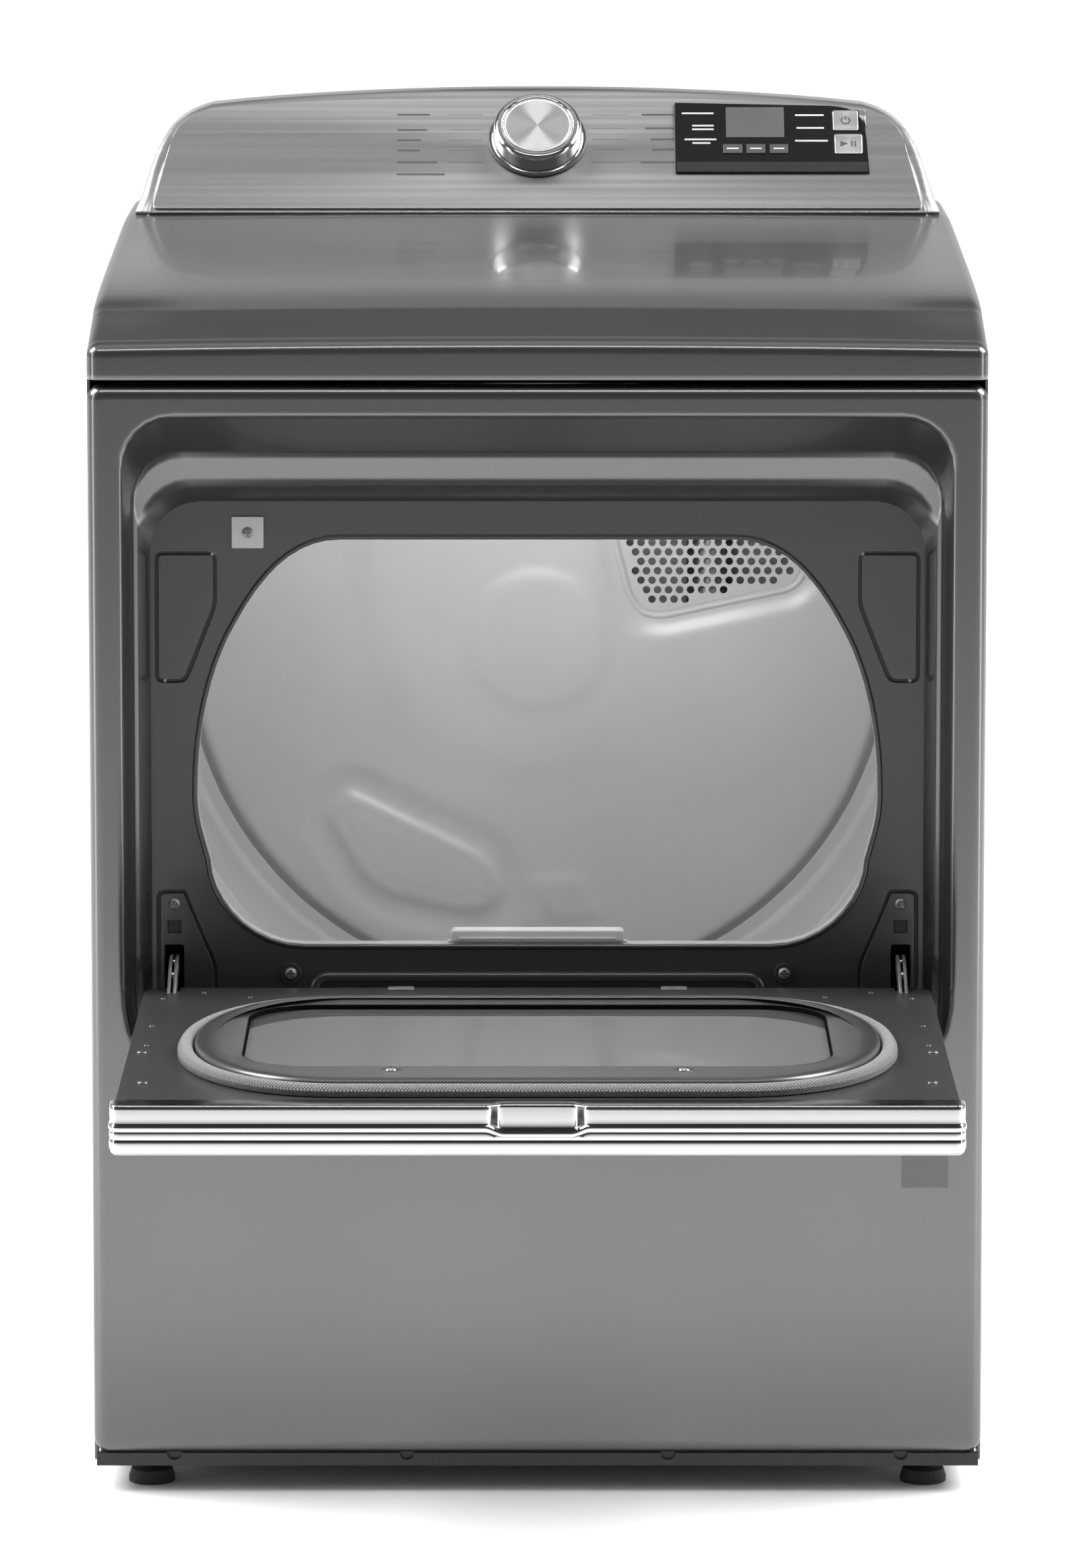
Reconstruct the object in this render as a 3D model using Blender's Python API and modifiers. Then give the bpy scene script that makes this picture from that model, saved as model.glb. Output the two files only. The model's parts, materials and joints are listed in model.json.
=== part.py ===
"""A front-loading clothes dryer with its drop-down door open: cabinet, console, drum, drive and door.

Metres, +Z up, the front faces -Y. Geometry is written from the cabinet's front plane (Y = 0) and the
floor (Z = 0); the frame empty then moves the front plane so that the origin is the middle of the
whole object's base.
"""

import math

import bmesh
import bpy
from mathutils import Matrix, Vector

# Driving dimensions of the cabinet.
WIDTH = 0.686
CABINET_DEPTH = 0.700
EXHAUST_REACH = 0.735
DOOR_REACH = 0.428
SHEET = 0.002
GAP = 0.0003
HALF = WIDTH / 2
FRONT_LOW, FRONT_HIGH = 0.030, 0.861
TOP_LOW = 0.865
BASE_LOW = 0.020
WALL_LOW = 0.0225
FRAME_Y = -(EXHAUST_REACH - DOOR_REACH) / 2

# Door recess, bulkhead and opening.
BULKHEAD_Y = 0.058
RIM_Y = 0.0525
OPENING_LOW, OPENING_HIGH, OPENING_HALF = 0.4195, 0.735, 0.2624

# Drum and drive. The drum turns about Y.
DRUM_Z = 0.574
DRUM_R = 0.316
DRUM_FRONT, DRUM_REAR = 0.100, 0.632
COLLAR_R = 0.293
REAR_PLATE_Y = 0.640
BELT_Y = 0.360
BELT_THICK = 0.0015
MOTOR_X, MOTOR_Z = 0.130, 0.140
PULLEY_R = 0.012
IDLER_R = 0.025
ROLLER_R = 0.0375
ROLLER_ANGLE = math.radians(35)
DUCT_R = 0.0508
DUCT_Z = 0.108

# Door. It lies open at rest, and its hinge axis runs along X.
HINGE_Y, HINGE_Z = 0.002, 0.356
DOOR_HALF = 0.303
DOOR_FRONT, DOOR_BACK = -0.405, 0.025
DOOR_LOW, DOOR_TOP = 0.3545, 0.3916
DOOR_CORNER = 0.018
DISH_TOP = 0.403
DISH_HALF, DISH_NEAR, DISH_FAR = 0.2532, -0.3872, -0.0608
DISH_END, DISH_POWER = 0.1132, 2.15
WINDOW_HALF, WINDOW_NEAR, WINDOW_FAR, WINDOW_CORNER = 0.2160, -0.3260, -0.0860, 0.052
SEAL_WIDTH = 0.0128
ARM_X = 0.281

# Console. Its face is tilted 45 degrees and has its own frame: X across, Y up the slope, Z outwards.
CONSOLE_Y, CONSOLE_Z = 0.562, 0.948
CONSOLE_TILT = math.radians(45)
CONSOLE_LOW = 0.9423
KNOB_S = 0.071

MATERIALS = {
    "slate_paint": ((0.11, 0.11, 0.115), 0.75, 0.32),
    "chrome": ((0.80, 0.80, 0.82), 1.0, 0.08),
    "brushed_silver": ((0.42, 0.42, 0.43), 0.9, 0.35),
    "drum_grey": ((0.55, 0.55, 0.56), 0.2, 0.40),
    "bulkhead_grey": ((0.07, 0.07, 0.075), 0.3, 0.40),
    "galvanised": ((0.45, 0.46, 0.47), 0.9, 0.45),
    "black_gloss": ((0.01, 0.01, 0.012), 0.0, 0.08),
    "dark_plastic": ((0.03, 0.03, 0.03), 0.0, 0.50),
    "white_plastic": ((0.75, 0.75, 0.74), 0.0, 0.40),
    "felt": ((0.45, 0.45, 0.45), 0.0, 0.90),
    "rubber": ((0.02, 0.02, 0.02), 0.0, 0.80),
    "board_green": ((0.02, 0.12, 0.05), 0.0, 0.60),
    "lamp_lens": ((0.70, 0.70, 0.72), 0.0, 0.20),
    "dark_glass": ((0.02, 0.02, 0.02), 0.0, 0.05),
}


def clear_scene():
    for obj in list(bpy.data.objects):
        bpy.data.objects.remove(obj, do_unlink=True)


def new_collection(name):
    collection = bpy.data.collections.new(name)
    bpy.context.scene.collection.children.link(collection)
    return collection


def make_material(name):
    colour, metallic, roughness = MATERIALS[name]
    material = bpy.data.materials.new(name)
    material.use_nodes = True
    shader = material.node_tree.nodes["Principled BSDF"]
    shader.inputs["Base Color"].default_value = (*colour, 1)
    shader.inputs["Metallic"].default_value = metallic
    shader.inputs["Roughness"].default_value = roughness
    return material


clear_scene()
PARTS = new_collection("clothes_dryer")
CUTTERS = new_collection("cutters")


def empty(name, location, parent=None, tilt=0.0):
    """A point that parts hang from, such as a joint's axis."""
    point = bpy.data.objects.new(name, None)
    point.location = location
    point.rotation_euler.x = tilt
    point.parent = parent
    PARTS.objects.link(point)
    return point


FRAME = empty("dryer_frame", (0, FRAME_Y, 0))
CONSOLE = empty("console_plane", (0, CONSOLE_Y, CONSOLE_Z), FRAME, CONSOLE_TILT)


def add(name, mesh, material, parent=FRAME):
    """An object whose geometry is in the parent's frame, or in the cabinet's frame under a joint."""
    obj = bpy.data.objects.new(name, mesh)
    PARTS.objects.link(obj)
    obj.parent = parent
    if parent not in (FRAME, CONSOLE):
        obj.location = -parent.location
    if material:
        mesh.materials.append(bpy.data.materials.get(material) or make_material(material))
    mesh.shade_smooth()
    mesh.set_sharp_from_angle(angle=math.radians(35))
    return obj


def mesh_from(name, shape):
    bmesh.ops.recalc_face_normals(shape, faces=shape.faces)
    mesh = bpy.data.meshes.new(name)
    shape.to_mesh(mesh)
    shape.free()
    return mesh


def box(name, x, y, z, material=None, parent=FRAME, bevel=0.0):
    """A block from ranges along each axis, with rounded edges where bevel is given."""
    shape = bmesh.new()
    bmesh.ops.create_cube(shape, size=1)
    size = (x[1] - x[0], y[1] - y[0], z[1] - z[0])
    middle = ((x[0] + x[1]) / 2, (y[0] + y[1]) / 2, (z[0] + z[1]) / 2)
    bmesh.ops.transform(shape, matrix=Matrix.LocRotScale(middle, None, size), verts=shape.verts)
    obj = add(name, mesh_from(name, shape), material, parent)
    if bevel:
        rounding = obj.modifiers.new("rounding", "BEVEL")
        rounding.width = bevel
        rounding.segments = 2
    return obj


def along_y(low, high):
    """The matrix that lays a shape made in XY, with its thickness along Z, into XZ between two Y values."""
    return Matrix.Translation((0, (low + high) / 2, 0)) @ Matrix.Rotation(math.radians(90), 4, "X")


def prism(name, outline, low, high, material=None, parent=FRAME, plane="XZ"):
    """A flat outline given thickness: a filled 2D curve, made a mesh.

    Plane XZ is thick along Y, XY along Z and YZ along X.
    """
    curve = bpy.data.curves.new(name, "CURVE")
    curve.dimensions = "2D"
    curve.fill_mode = "BOTH"
    curve.extrude = (high - low) / 2
    spline = curve.splines.new("POLY")
    spline.points.add(len(outline) - 1)
    for point, (u, v) in zip(spline.points, outline):
        point.co = (u, v, 0, 1)
    spline.use_cyclic_u = True
    holder = bpy.data.objects.new(name, curve)
    CUTTERS.objects.link(holder)
    mesh = bpy.data.meshes.new_from_object(holder.evaluated_get(bpy.context.evaluated_depsgraph_get()))
    bpy.data.objects.remove(holder, do_unlink=True)
    middle = (low + high) / 2
    turned = Matrix(((0, 0, 1, 0), (1, 0, 0, 0), (0, 1, 0, 0), (0, 0, 0, 1)))
    placed = {
        "XZ": along_y(low, high),
        "XY": Matrix.Translation((0, 0, middle)),
        "YZ": Matrix.Translation((middle, 0, 0)) @ turned,
    }[plane]
    shape = bmesh.new()
    shape.from_mesh(mesh)
    bmesh.ops.remove_doubles(shape, verts=shape.verts, dist=1e-6)
    bmesh.ops.transform(shape, matrix=placed, verts=shape.verts)
    bpy.data.meshes.remove(mesh)
    return add(name, mesh_from(name, shape), material, parent)


def lathe(name, profile, centre, axis="Y", material=None, parent=FRAME, steps=48, closed=True):
    """A turned shape. The profile holds (radius, distance along the axis), outer side first."""
    mesh = bpy.data.meshes.new(name)
    edges = [(i, i + 1) for i in range(len(profile) - 1)]
    if closed:
        edges.append((len(profile) - 1, 0))
    mesh.from_pydata([(r, 0, h) for r, h in profile], edges, [])
    obj = add(name, mesh, material, parent)
    spin = obj.modifiers.new("turn", "SCREW")
    spin.steps = steps
    spin.render_steps = steps
    spin.use_merge_vertices = True
    spin.merge_threshold = 1e-5
    spin.use_smooth_shade = True
    if axis == "Y":
        obj.rotation_euler.x = math.radians(-90)
    obj.location = obj.location + Vector(centre)
    return obj


def disc(name, radius, centre, low, high, axis="Y", material=None, parent=FRAME, steps=32):
    """A solid cylinder between two distances along its axis."""
    profile = [(0, high), (radius, high), (radius, low), (0, low)]
    return lathe(name, profile, centre, axis, material, parent, steps, closed=False)


def tube(name, outer, inner, centre, low, high, axis="Y", material=None, parent=FRAME, steps=48):
    profile = [(inner, high), (outer, high), (outer, low), (inner, low)]
    return lathe(name, profile, centre, axis, material, parent, steps)


def loft(name, rings, material=None, parent=FRAME):
    """A closed solid through rings that hold the same number of points."""
    shape = bmesh.new()
    loops = [[shape.verts.new(point) for point in ring] for ring in rings]
    count = len(rings[0])
    for first, second in zip(loops, loops[1:]):
        for i in range(count):
            shape.faces.new((first[i], first[(i + 1) % count], second[(i + 1) % count], second[i]))
    shape.faces.new(loops[0])
    shape.faces.new(loops[-1])
    return add(name, mesh_from(name, shape), material, parent)


def combine(target, tools, operation="DIFFERENCE"):
    """Cuts the tools from the target, joins them to it, or keeps only what they share."""
    for tool in tools:
        PARTS.objects.unlink(tool)
        CUTTERS.objects.link(tool)
        tool.hide_render = True
        tool.display_type = "WIRE"
        modifier = target.modifiers.new(tool.name, "BOOLEAN")
        modifier.operation = operation
        modifier.solver = "EXACT"
        modifier.object = tool
    return target


def arc(centre, radius, start, end, steps):
    """Points of an arc in degrees, both ends included."""
    turns = [math.radians(start + (end - start) * i / steps) for i in range(steps + 1)]
    return [(centre[0] + radius * math.cos(t), centre[1] + radius * math.sin(t)) for t in turns]


def bezier(a, b, c, d, steps):
    """Points of a cubic curve, its last one left out."""
    points = []
    for i in range(steps):
        t = i / steps
        s = 1 - t
        points.append(
            tuple(s**3 * a[k] + 3 * s * s * t * b[k] + 3 * s * t * t * c[k] + t**3 * d[k] for k in (0, 1))
        )
    return points


def grow_outline(outline, by):
    """The outline, which runs anticlockwise, moved outwards along the mean normal at each point."""
    grown_points = []
    for before, here, after in zip(outline[-1:] + outline[:-1], outline, outline[1:] + outline[:1]):
        run = Vector(here) - Vector(before)
        follow = Vector(after) - Vector(here)
        along = (run.normalized() + follow.normalized()).normalized()
        grown_points.append((here[0] + by * along.y, here[1] - by * along.x))
    return grown_points


def opening_outline(offset=0.0, steps=5):
    """The door opening: flat top and bottom, full sides, tighter lower corners. Offset grows it."""
    low, high, side = OPENING_LOW, OPENING_HIGH, OPENING_HALF
    knee, hip, shoulder = (side - 0.010, low + 0.066), (side, 0.540), (side - 0.030, high - 0.065)
    right = bezier((0.180, low), (0.222, low), (0.252, low + 0.036), knee, steps)
    right += bezier(knee, (side - 0.003, low + 0.092), (side, hip[1] - 0.022), hip, steps)
    right += bezier(hip, (side, 0.598), (side - 0.014, 0.643), shoulder, steps)
    right += bezier(shoulder, (side - 0.053, high - 0.022), (0.184, high), (0.152, high), steps)
    right.append((0.152, high))
    outline = right + [(-x, z) for x, z in reversed(right)]
    return grow_outline(outline, offset)


def oval(half, near, far, across, up, power, steps=8):
    """A rounded outline in XY between two Y values. Each corner is a superellipse, across by up."""
    middle, depth = (near + far) / 2, (far - near) / 2
    right = []
    for i in range(2 * steps + 1):
        turn = math.pi * (i / (2 * steps) - 0.5)
        c, s = math.cos(turn), math.sin(turn)
        centre_y = middle + math.copysign(depth - up, s)
        if i == steps and depth > up:
            right += [(half, middle - depth + up), (half, middle + depth - up)]
            continue
        x = half - across + across * abs(c) ** (2 / power)
        right.append((x, centre_y + up * math.copysign(abs(s) ** (2 / power), s)))
    return right + [(-x, y) for x, y in reversed(right)]


def dish_outline(grow=0.0):
    """The door's raised dish from above: straight in front and behind, with elliptical ends."""
    near, far = DISH_NEAR - grow, DISH_FAR + grow
    return oval(DISH_HALF + grow, near, far, DISH_END + grow, (far - near) / 2, DISH_POWER)


def window_outline(grow=0.0):
    """The window from above, a rectangle with round corners."""
    radius = WINDOW_CORNER + grow
    return oval(WINDOW_HALF + grow, WINDOW_NEAR - grow, WINDOW_FAR + grow, radius, radius, 2)


# ---------------------------------------------------------------- cabinet


def recess_ring(y, half, top, low, corner, grow=0.0):
    """The recess at one depth: an arc at each upper corner, a long curve at each lower one."""
    across, up = corner
    radius = 0.039
    end = (half, low + up)
    right = bezier((half - across, low), (half - 0.18 * across, low), (half, low + 0.49 * up), end, 6)
    right += [end, *arc((half - radius, top - radius), radius, 0, 90, 6)]
    outline = right + [(-x, z) for x, z in reversed(right)]
    return [(x, y, z) for x, z in grow_outline(outline, grow)]


def make_front_panel():
    """The pressed front with the funnel that leads back to the bulkhead."""
    panel = box("front_panel", (-HALF, HALF), (0, 0.014), (FRONT_LOW, FRONT_HIGH), "slate_paint")
    back = box(
        "front_panel_back",
        (-HALF + SHEET, HALF - SHEET),
        (SHEET, 0.03),
        (FRONT_LOW + SHEET, FRONT_HIGH - SHEET),
    )
    steps = [
        (0.0, 0.316, 0.835, 0.322, (0.054, 0.078)),
        (0.040, 0.3105, 0.804, 0.324, (0.034, 0.062)),
        (0.044, 0.306, 0.781, 0.325, (0.034, 0.062)),
        (BULKHEAD_Y - GAP, 0.298, 0.765, 0.326, (0.034, 0.062)),
    ]
    skin = loft("funnel_skin", [recess_ring(*step, grow=SHEET) for step in steps])
    lead = (-0.002, *steps[0][1:])
    end = (BULKHEAD_Y + 0.004, *steps[-1][1:])
    hollow = loft("funnel_hollow", [recess_ring(*step) for step in (lead, *steps[1:], end)])
    combine(panel, [back])
    combine(panel, [skin], "UNION")
    slots = [
        box(f"ledge_slot_{side}", sorted((side * 0.274, side * 0.288)), (0.010, 0.07), (0.28, 0.36))
        for side in (-1, 1)
    ]
    return combine(panel, [hollow, *slots])


def make_side_panels():
    for side, name in ((-1, "left_side_panel"), (1, "right_side_panel")):
        x = sorted((side * (HALF - SHEET), side * HALF))
        box(name, x, (0.0145, CABINET_DEPTH - SHEET - GAP), (WALL_LOW, TOP_LOW - 0.0005), "slate_paint")


def make_rear_panel():
    y = (CABINET_DEPTH - SHEET, CABINET_DEPTH)
    panel = box("rear_panel", (-HALF + GAP, HALF - GAP), y, (WALL_LOW, TOP_LOW - 0.0005), "galvanised")
    cuts = [disc("rear_exhaust_hole", DUCT_R + 0.002, (0, 0, DUCT_Z), 0.69, 0.71)]
    for row in range(6):
        z = 0.30 + 0.03 * row
        cuts.append(box(f"rear_louvre_{row}", (-0.20, -0.10), (0.69, 0.71), (z, z + 0.008)))
    cuts.append(box("terminal_hole", (0.20, 0.28), (0.69, 0.71), (0.72, 0.78)))
    return combine(panel, cuts)


def make_base():
    pan = box("base_pan", (-0.340, 0.340), (0.016, 0.697), (BASE_LOW, 0.050), "galvanised")
    inside = box("base_inside", (-0.338, 0.338), (0.018, 0.695), (BASE_LOW + SHEET, 0.06))
    skirt = box("base_step", (-0.35, 0.35), (0.0, 0.71), (0.0221, 0.06))
    keep = box("base_keep", (-0.3385, 0.3385), (0.0165, 0.6965), (0.0, 0.07))
    combine(pan, [inside])
    combine(skirt, [keep])
    return combine(pan, [skirt])


def make_toe_strip():
    strip = box("toe_strip", (-0.341, 0.341), (0.006, 0.012), (0.0195, FRONT_LOW - 0.0005), "dark_plastic")
    notches = [
        disc(f"toe_notch_{i}", 0.006, (x, 0, FRONT_LOW), -0.01, 0.02, steps=16)
        for i, x in enumerate((-0.281, -0.101, 0.101, 0.281))
    ]
    return combine(strip, notches)


def make_feet(base):
    """Four levelling feet, each a pad on a threaded stem through the base pan."""
    holes = []
    for x, x_word in ((-0.300, "left"), (0.300, "right")):
        for y, y_word in ((0.040, "front"), (0.667, "rear")):
            axis = empty(f"{y_word}_{x_word}_foot_axis", (x, y, 0), FRAME)
            profile = [(0, 0.070), (0.005, 0.070), (0.005, 0.012), (0.016, 0.010)]
            profile += [(0.018, 0.004), (0.018, 0), (0, 0)]
            lathe(
                f"{y_word}_{x_word}_foot", profile, (x, y, 0), "Z", "rubber", axis, steps=24, closed=False
            )
            holes.append(disc(f"foot_hole_{y_word}_{x_word}", 0.0055, (x, y, 0), 0.0, 0.1, "Z", steps=24))
    combine(base, holes)


def top_section(y, top, inset=0.0, low=TOP_LOW):
    """A cross-section of the top panel: a flat bottom and a top with rolled sides."""
    radius = 0.010
    side, height = HALF - inset, top - inset
    right = arc((side - radius, height - radius), radius, 0, 90, 3)
    half = [(side, low), *right]
    outline = half + [(-x, z) for x, z in reversed(half)]
    return [(x, y, z) for x, z in outline]


def make_top_panel():
    line = [(0.0, 0.889), (0.004, 0.8935), (0.015, 0.896), (0.070, 0.912)]
    line += [(0.120, 0.923), (0.280, 0.930), (0.560, 0.942), (0.699, 0.942)]
    panel = loft("top_panel", [top_section(y, z) for y, z in line], "slate_paint")
    inner = [(SHEET, 0.888), *line[2:-1], (0.699 - SHEET, 0.942)]
    sections = [top_section(y, z, SHEET, TOP_LOW - 0.01) for y, z in inner]
    return combine(panel, [loft("top_hollow", sections)])


# ---------------------------------------------------------------- console


def console_elevation(inset=0.0):
    """The console seen from the front: sides lean in and the top corners sweep into a flat arch."""
    right = [(0.331, 0.930), (0.322, 0.975)]
    right += bezier((0.314, 0.995), (0.308, 1.012), (0.292, 1.022), (0.250, 1.029), 6)
    right += [(0.250, 1.029), (0.125, 1.0355), (0.0, 1.038)]
    right = [(x - inset, z - inset) for x, z in right[:-1]] + [(0.0, 1.038 - inset)]
    return right + [(-x, z) for x, z in reversed(right[:-1])]


def console_profile(inset=0.0):
    """The console seen from the side, as (y, z). The inset one is the hollow, open below."""
    low = 0.93 if inset else CONSOLE_LOW
    return [
        (CONSOLE_Y + inset, low),
        (CONSOLE_Y + inset, CONSOLE_Z - 0.4 * inset),
        (0.648 + 0.7 * inset, 1.034 - 0.7 * inset),
        (0.665, 1.0381 - inset),
        (0.684, 1.036 - inset),
        (0.693 - inset, 1.020 - inset),
        (0.697 - inset, low),
    ]


def fascia_outline(grow=0.0):
    """The face plate in the console's frame: straight sides that lean in and round top corners."""
    right = [(0.317 + grow, 0.010 - grow), (0.3045 + grow, 0.078)]
    corner_end = (0.262, 0.108 + grow)
    right += bezier((0.302 + grow, 0.086), (0.298 + grow, 0.099), (0.285, 0.105 + grow), corner_end, 5)
    right += [corner_end, (0.130, 0.1145 + grow)]
    return right + [(0.0, 0.117 + grow)] + [(-x, s) for x, s in reversed(right)]


KEYS = {
    "power_button": ((0.2465, 0.2675), (0.0795, 0.1015)),
    "start_button": ((0.2475, 0.2705), (0.0540, 0.0755)),
    "option_key_1": ((0.1545, 0.1705), (0.0545, 0.0645)),
    "option_key_2": ((0.1740, 0.1895), (0.0545, 0.0645)),
    "option_key_3": ((0.1935, 0.2085), (0.0545, 0.0645)),
}
LENS = ((0.1575, 0.2055), (0.0725, 0.1055))
KEY_WELL = ((0.150, 0.2735), (0.0500, 0.1035))


def grown(span, by):
    return (span[0] - by, span[1] + by)


def make_console_housing():
    housing = prism("console_housing", console_profile(), -0.335, 0.335, "brushed_silver", plane="YZ")
    combine(housing, [prism("console_trim", console_elevation(), 0.54, 0.72)], "INTERSECT")
    inside = prism("console_inside", console_profile(0.005), -0.325, 0.325, plane="YZ")
    combine(inside, [prism("console_inside_trim", console_elevation(0.005), 0.54, 0.72)], "INTERSECT")
    pocket = prism("fascia_pocket", fascia_outline(GAP), -0.0020, 0.02, parent=CONSOLE, plane="XY")
    shaft = disc("housing_shaft_hole", 0.008, (0, KNOB_S, 0), -0.03, 0.01, "Z", parent=CONSOLE, steps=24)
    well = box("housing_key_well", *KEY_WELL, (-0.03, 0.01), parent=CONSOLE)
    return combine(housing, [inside, pocket, shaft, well])


def make_fascia():
    plate = prism("console_fascia", fascia_outline(), -0.0017, 0.0, "brushed_silver", CONSOLE, "XY")
    shaft = disc("fascia_shaft_hole", 0.008, (0, KNOB_S, 0), -0.01, 0.01, "Z", parent=CONSOLE, steps=24)
    well = box("fascia_key_well", *KEY_WELL, (-0.01, 0.01), parent=CONSOLE)
    return combine(plate, [shaft, well])


def make_display():
    """The black panel at the right of the console with its lens, its buttons and its keys."""
    outline = [(0.1145, 0.034), (0.276, 0.034)]
    outline += bezier((0.2735, 0.080), (0.272, 0.103), (0.262, 0.1055), (0.242, 0.107), 5)
    outline += [(0.242, 0.107), (0.1145, 0.1105)]
    overlay = prism("display_overlay", outline, GAP, 0.0018, "black_gloss", CONSOLE, "XY")
    cuts = [box("lens_hole", grown(LENS[0], GAP), grown(LENS[1], GAP), (-0.01, 0.01), parent=CONSOLE)]
    for name, (x, s) in KEYS.items():
        slide = empty(f"{name}_slide", (0, 0, 0), CONSOLE)
        finish = "dark_plastic" if name.startswith("option") else "brushed_silver"
        key = box(name, x, s, (-0.0045, 0.0026), finish, slide, 0.0004)
        key.location = (0, 0, 0)
        cuts.append(box(f"{name}_hole", grown(x, 0.0004), grown(s, 0.0004), (-0.01, 0.01), parent=CONSOLE))
    combine(overlay, cuts)
    box("display_lens", *LENS, (GAP, 0.0018), "dark_glass", CONSOLE)
    box("control_board", (0.1145, 0.272), (0.030, 0.095), (-0.0115, -0.0095), "board_green", CONSOLE)


def make_knob():
    axis = empty("knob_axis", (0, KNOB_S, 0), CONSOLE)
    profile = [
        (0, 0.0125),
        (0.0295, 0.0125),
        (0.0295, 0.0195),
        (0.0335, 0.0195),
        (0.0365, 0.0170),
        (0.0375, 0.0030),
        (0.0410, 0.0022),
        (0.0410, 0.0005),
        (0.0065, 0.0005),
        (0.0065, -0.0080),
        (0, -0.0080),
    ]
    knob = lathe("knob", profile, (0, 0, 0), "Z", "chrome", axis, 48, closed=False)
    knob.location = (0, 0, 0)
    button = disc("knob_button", 0.0290, (0, 0, 0), 0.0148, 0.0196, "Z", "brushed_silver", axis, 48)
    button.location = (0, 0, 0)


# ---------------------------------------------------------------- bulkheads, drum and drive


def make_front_bulkhead():
    """The fixed wall round the door opening, with a rolled rim and the collar for the drum's front."""
    y = (BULKHEAD_Y, BULKHEAD_Y + SHEET)
    plate = box("front_bulkhead", (-0.338, 0.338), y, (0.060, 0.855), "bulkhead_grey")
    collar = tube("collar", COLLAR_R, COLLAR_R - SHEET, (0, 0, DRUM_Z), y[0] + 0.001, 0.115, steps=64)
    rim = prism("rim", opening_outline(0.003), RIM_Y, BULKHEAD_Y + 0.001)
    combine(collar, [box("lint_gap", (-0.082, 0.082), (0.05, 0.13), (0.20, 0.45))])
    combine(plate, [collar, rim], "UNION")
    cuts = [prism("opening", opening_outline(), 0.04, 0.075)]
    for side in (-1, 1):
        x = sorted((side * 0.274, side * 0.288))
        cuts.append(box(f"arm_slot_{side}", x, (0.05, 0.07), (0.270, 0.419)))
        x = sorted((side * 0.275, side * 0.286))
        cuts.append(box(f"switch_hole_{side}", x, (0.05, 0.07), (0.428, 0.438)))
        cuts.append(disc(f"plug_hole_{side}", 0.0045, (side * 0.191, 0, 0.397), 0.05, 0.07, steps=16))
    return combine(plate, cuts)


def make_bulkhead_fittings():
    front = BULKHEAD_Y - GAP
    box("catch_plate", (-0.2351, -0.2105), (front - 0.0015, front), (0.7287, 0.7533), "galvanised")
    for side, word in ((-1, "left"), (1, "right")):
        profile = [(0, 0.0), (0.0084, 0.0), (0.0084, -0.002), (0.006, -0.0042), (0, -0.0048)]
        centre = (side * 0.191, front, 0.397)
        plug = lathe(f"bumper_plug_{word}", profile, centre, "Y", "rubber", steps=24, closed=False)
        stem = disc(f"plug_stem_{word}", 0.004, (side * 0.191, 0, 0.397), front - 0.001, 0.068, steps=16)
        combine(plug, [stem], "UNION")
    box("door_switch", (0.268, 0.293), (BULKHEAD_Y + SHEET + GAP, 0.082), (0.424, 0.446), "dark_plastic")
    tube("drum_front_seal", 0.2966, 0.2933, (0, 0, DRUM_Z), 0.1005, 0.1125, material="felt", steps=64)


def make_drum():
    axis = empty("drum_axis", (0, 0, DRUM_Z), FRAME)
    wall = SHEET
    profile = [
        (DRUM_R - 0.018, DRUM_REAR),
        (DRUM_R - 0.004, DRUM_REAR),
        (DRUM_R, DRUM_REAR - 0.006),
        (DRUM_R, DRUM_FRONT + 0.006),
        (DRUM_R - 0.004, DRUM_FRONT),
        (DRUM_R - 0.019, DRUM_FRONT),
        (DRUM_R - 0.019, DRUM_FRONT + wall),
        (DRUM_R - 0.005, DRUM_FRONT + wall),
        (DRUM_R - wall, DRUM_FRONT + 0.007),
        (DRUM_R - wall, DRUM_REAR - 0.007),
        (DRUM_R - 0.005, DRUM_REAR - wall),
        (DRUM_R - 0.018, DRUM_REAR - wall),
    ]
    shell = lathe("drum_shell", profile, (0, 0, 0), "Y", "drum_grey", axis, 72)
    shell.location = (0, 0, 0)
    foot, tip = DRUM_R - wall - 0.003, DRUM_R - 0.078
    for number, angle in enumerate((150, 30, 270), 1):
        outline = [(foot, -0.032), (foot, 0.032), (tip + 0.012, 0.013)]
        outline += [(tip, 0.007), (tip, -0.007), (tip + 0.012, -0.013)]
        baffle = prism(f"drum_baffle_{number}", outline, 0.130, 0.600, "drum_grey", axis)
        baffle.location = (0, 0, 0)
        baffle.rotation_euler.y = -math.radians(angle)


def make_rear_bulkhead():
    """The fixed wall behind the drum, with the hot-air inlet at the upper right."""
    y = (REAR_PLATE_Y, REAR_PLATE_Y + SHEET)
    wall = box("rear_bulkhead", (-0.338, 0.338), y, (0.060, 0.862), "drum_grey")
    cuts = [prism("inlet_hole", inlet_outline(GAP), 0.63, 0.65)]
    cuts.append(disc("duct_pass", DUCT_R + 0.003, (0, 0, DUCT_Z), 0.63, 0.65))
    cuts.append(disc("lamp_pass", 0.012, (-0.067, 0, 0.664), 0.63, 0.65, steps=24))
    combine(wall, cuts)
    axles = []
    for side in (-1, 1):
        x, z = roller_centre(side)
        axles.append(disc(f"roller_axle_{side}", 0.005, (x, 0, z), 0.585, y[0] + 0.001, steps=16))
    combine(wall, axles, "UNION")
    grille = prism("inlet_grille", inlet_outline(), REAR_PLATE_Y, REAR_PLATE_Y + 0.0016, "drum_grey")
    rows = [
        box(f"grille_slot_{row}", (0.095, 0.195), (0.63, 0.65), (0.640 + 0.02 * row, 0.650 + 0.02 * row))
        for row in range(6)
    ]
    combine(grille, rows)


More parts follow.
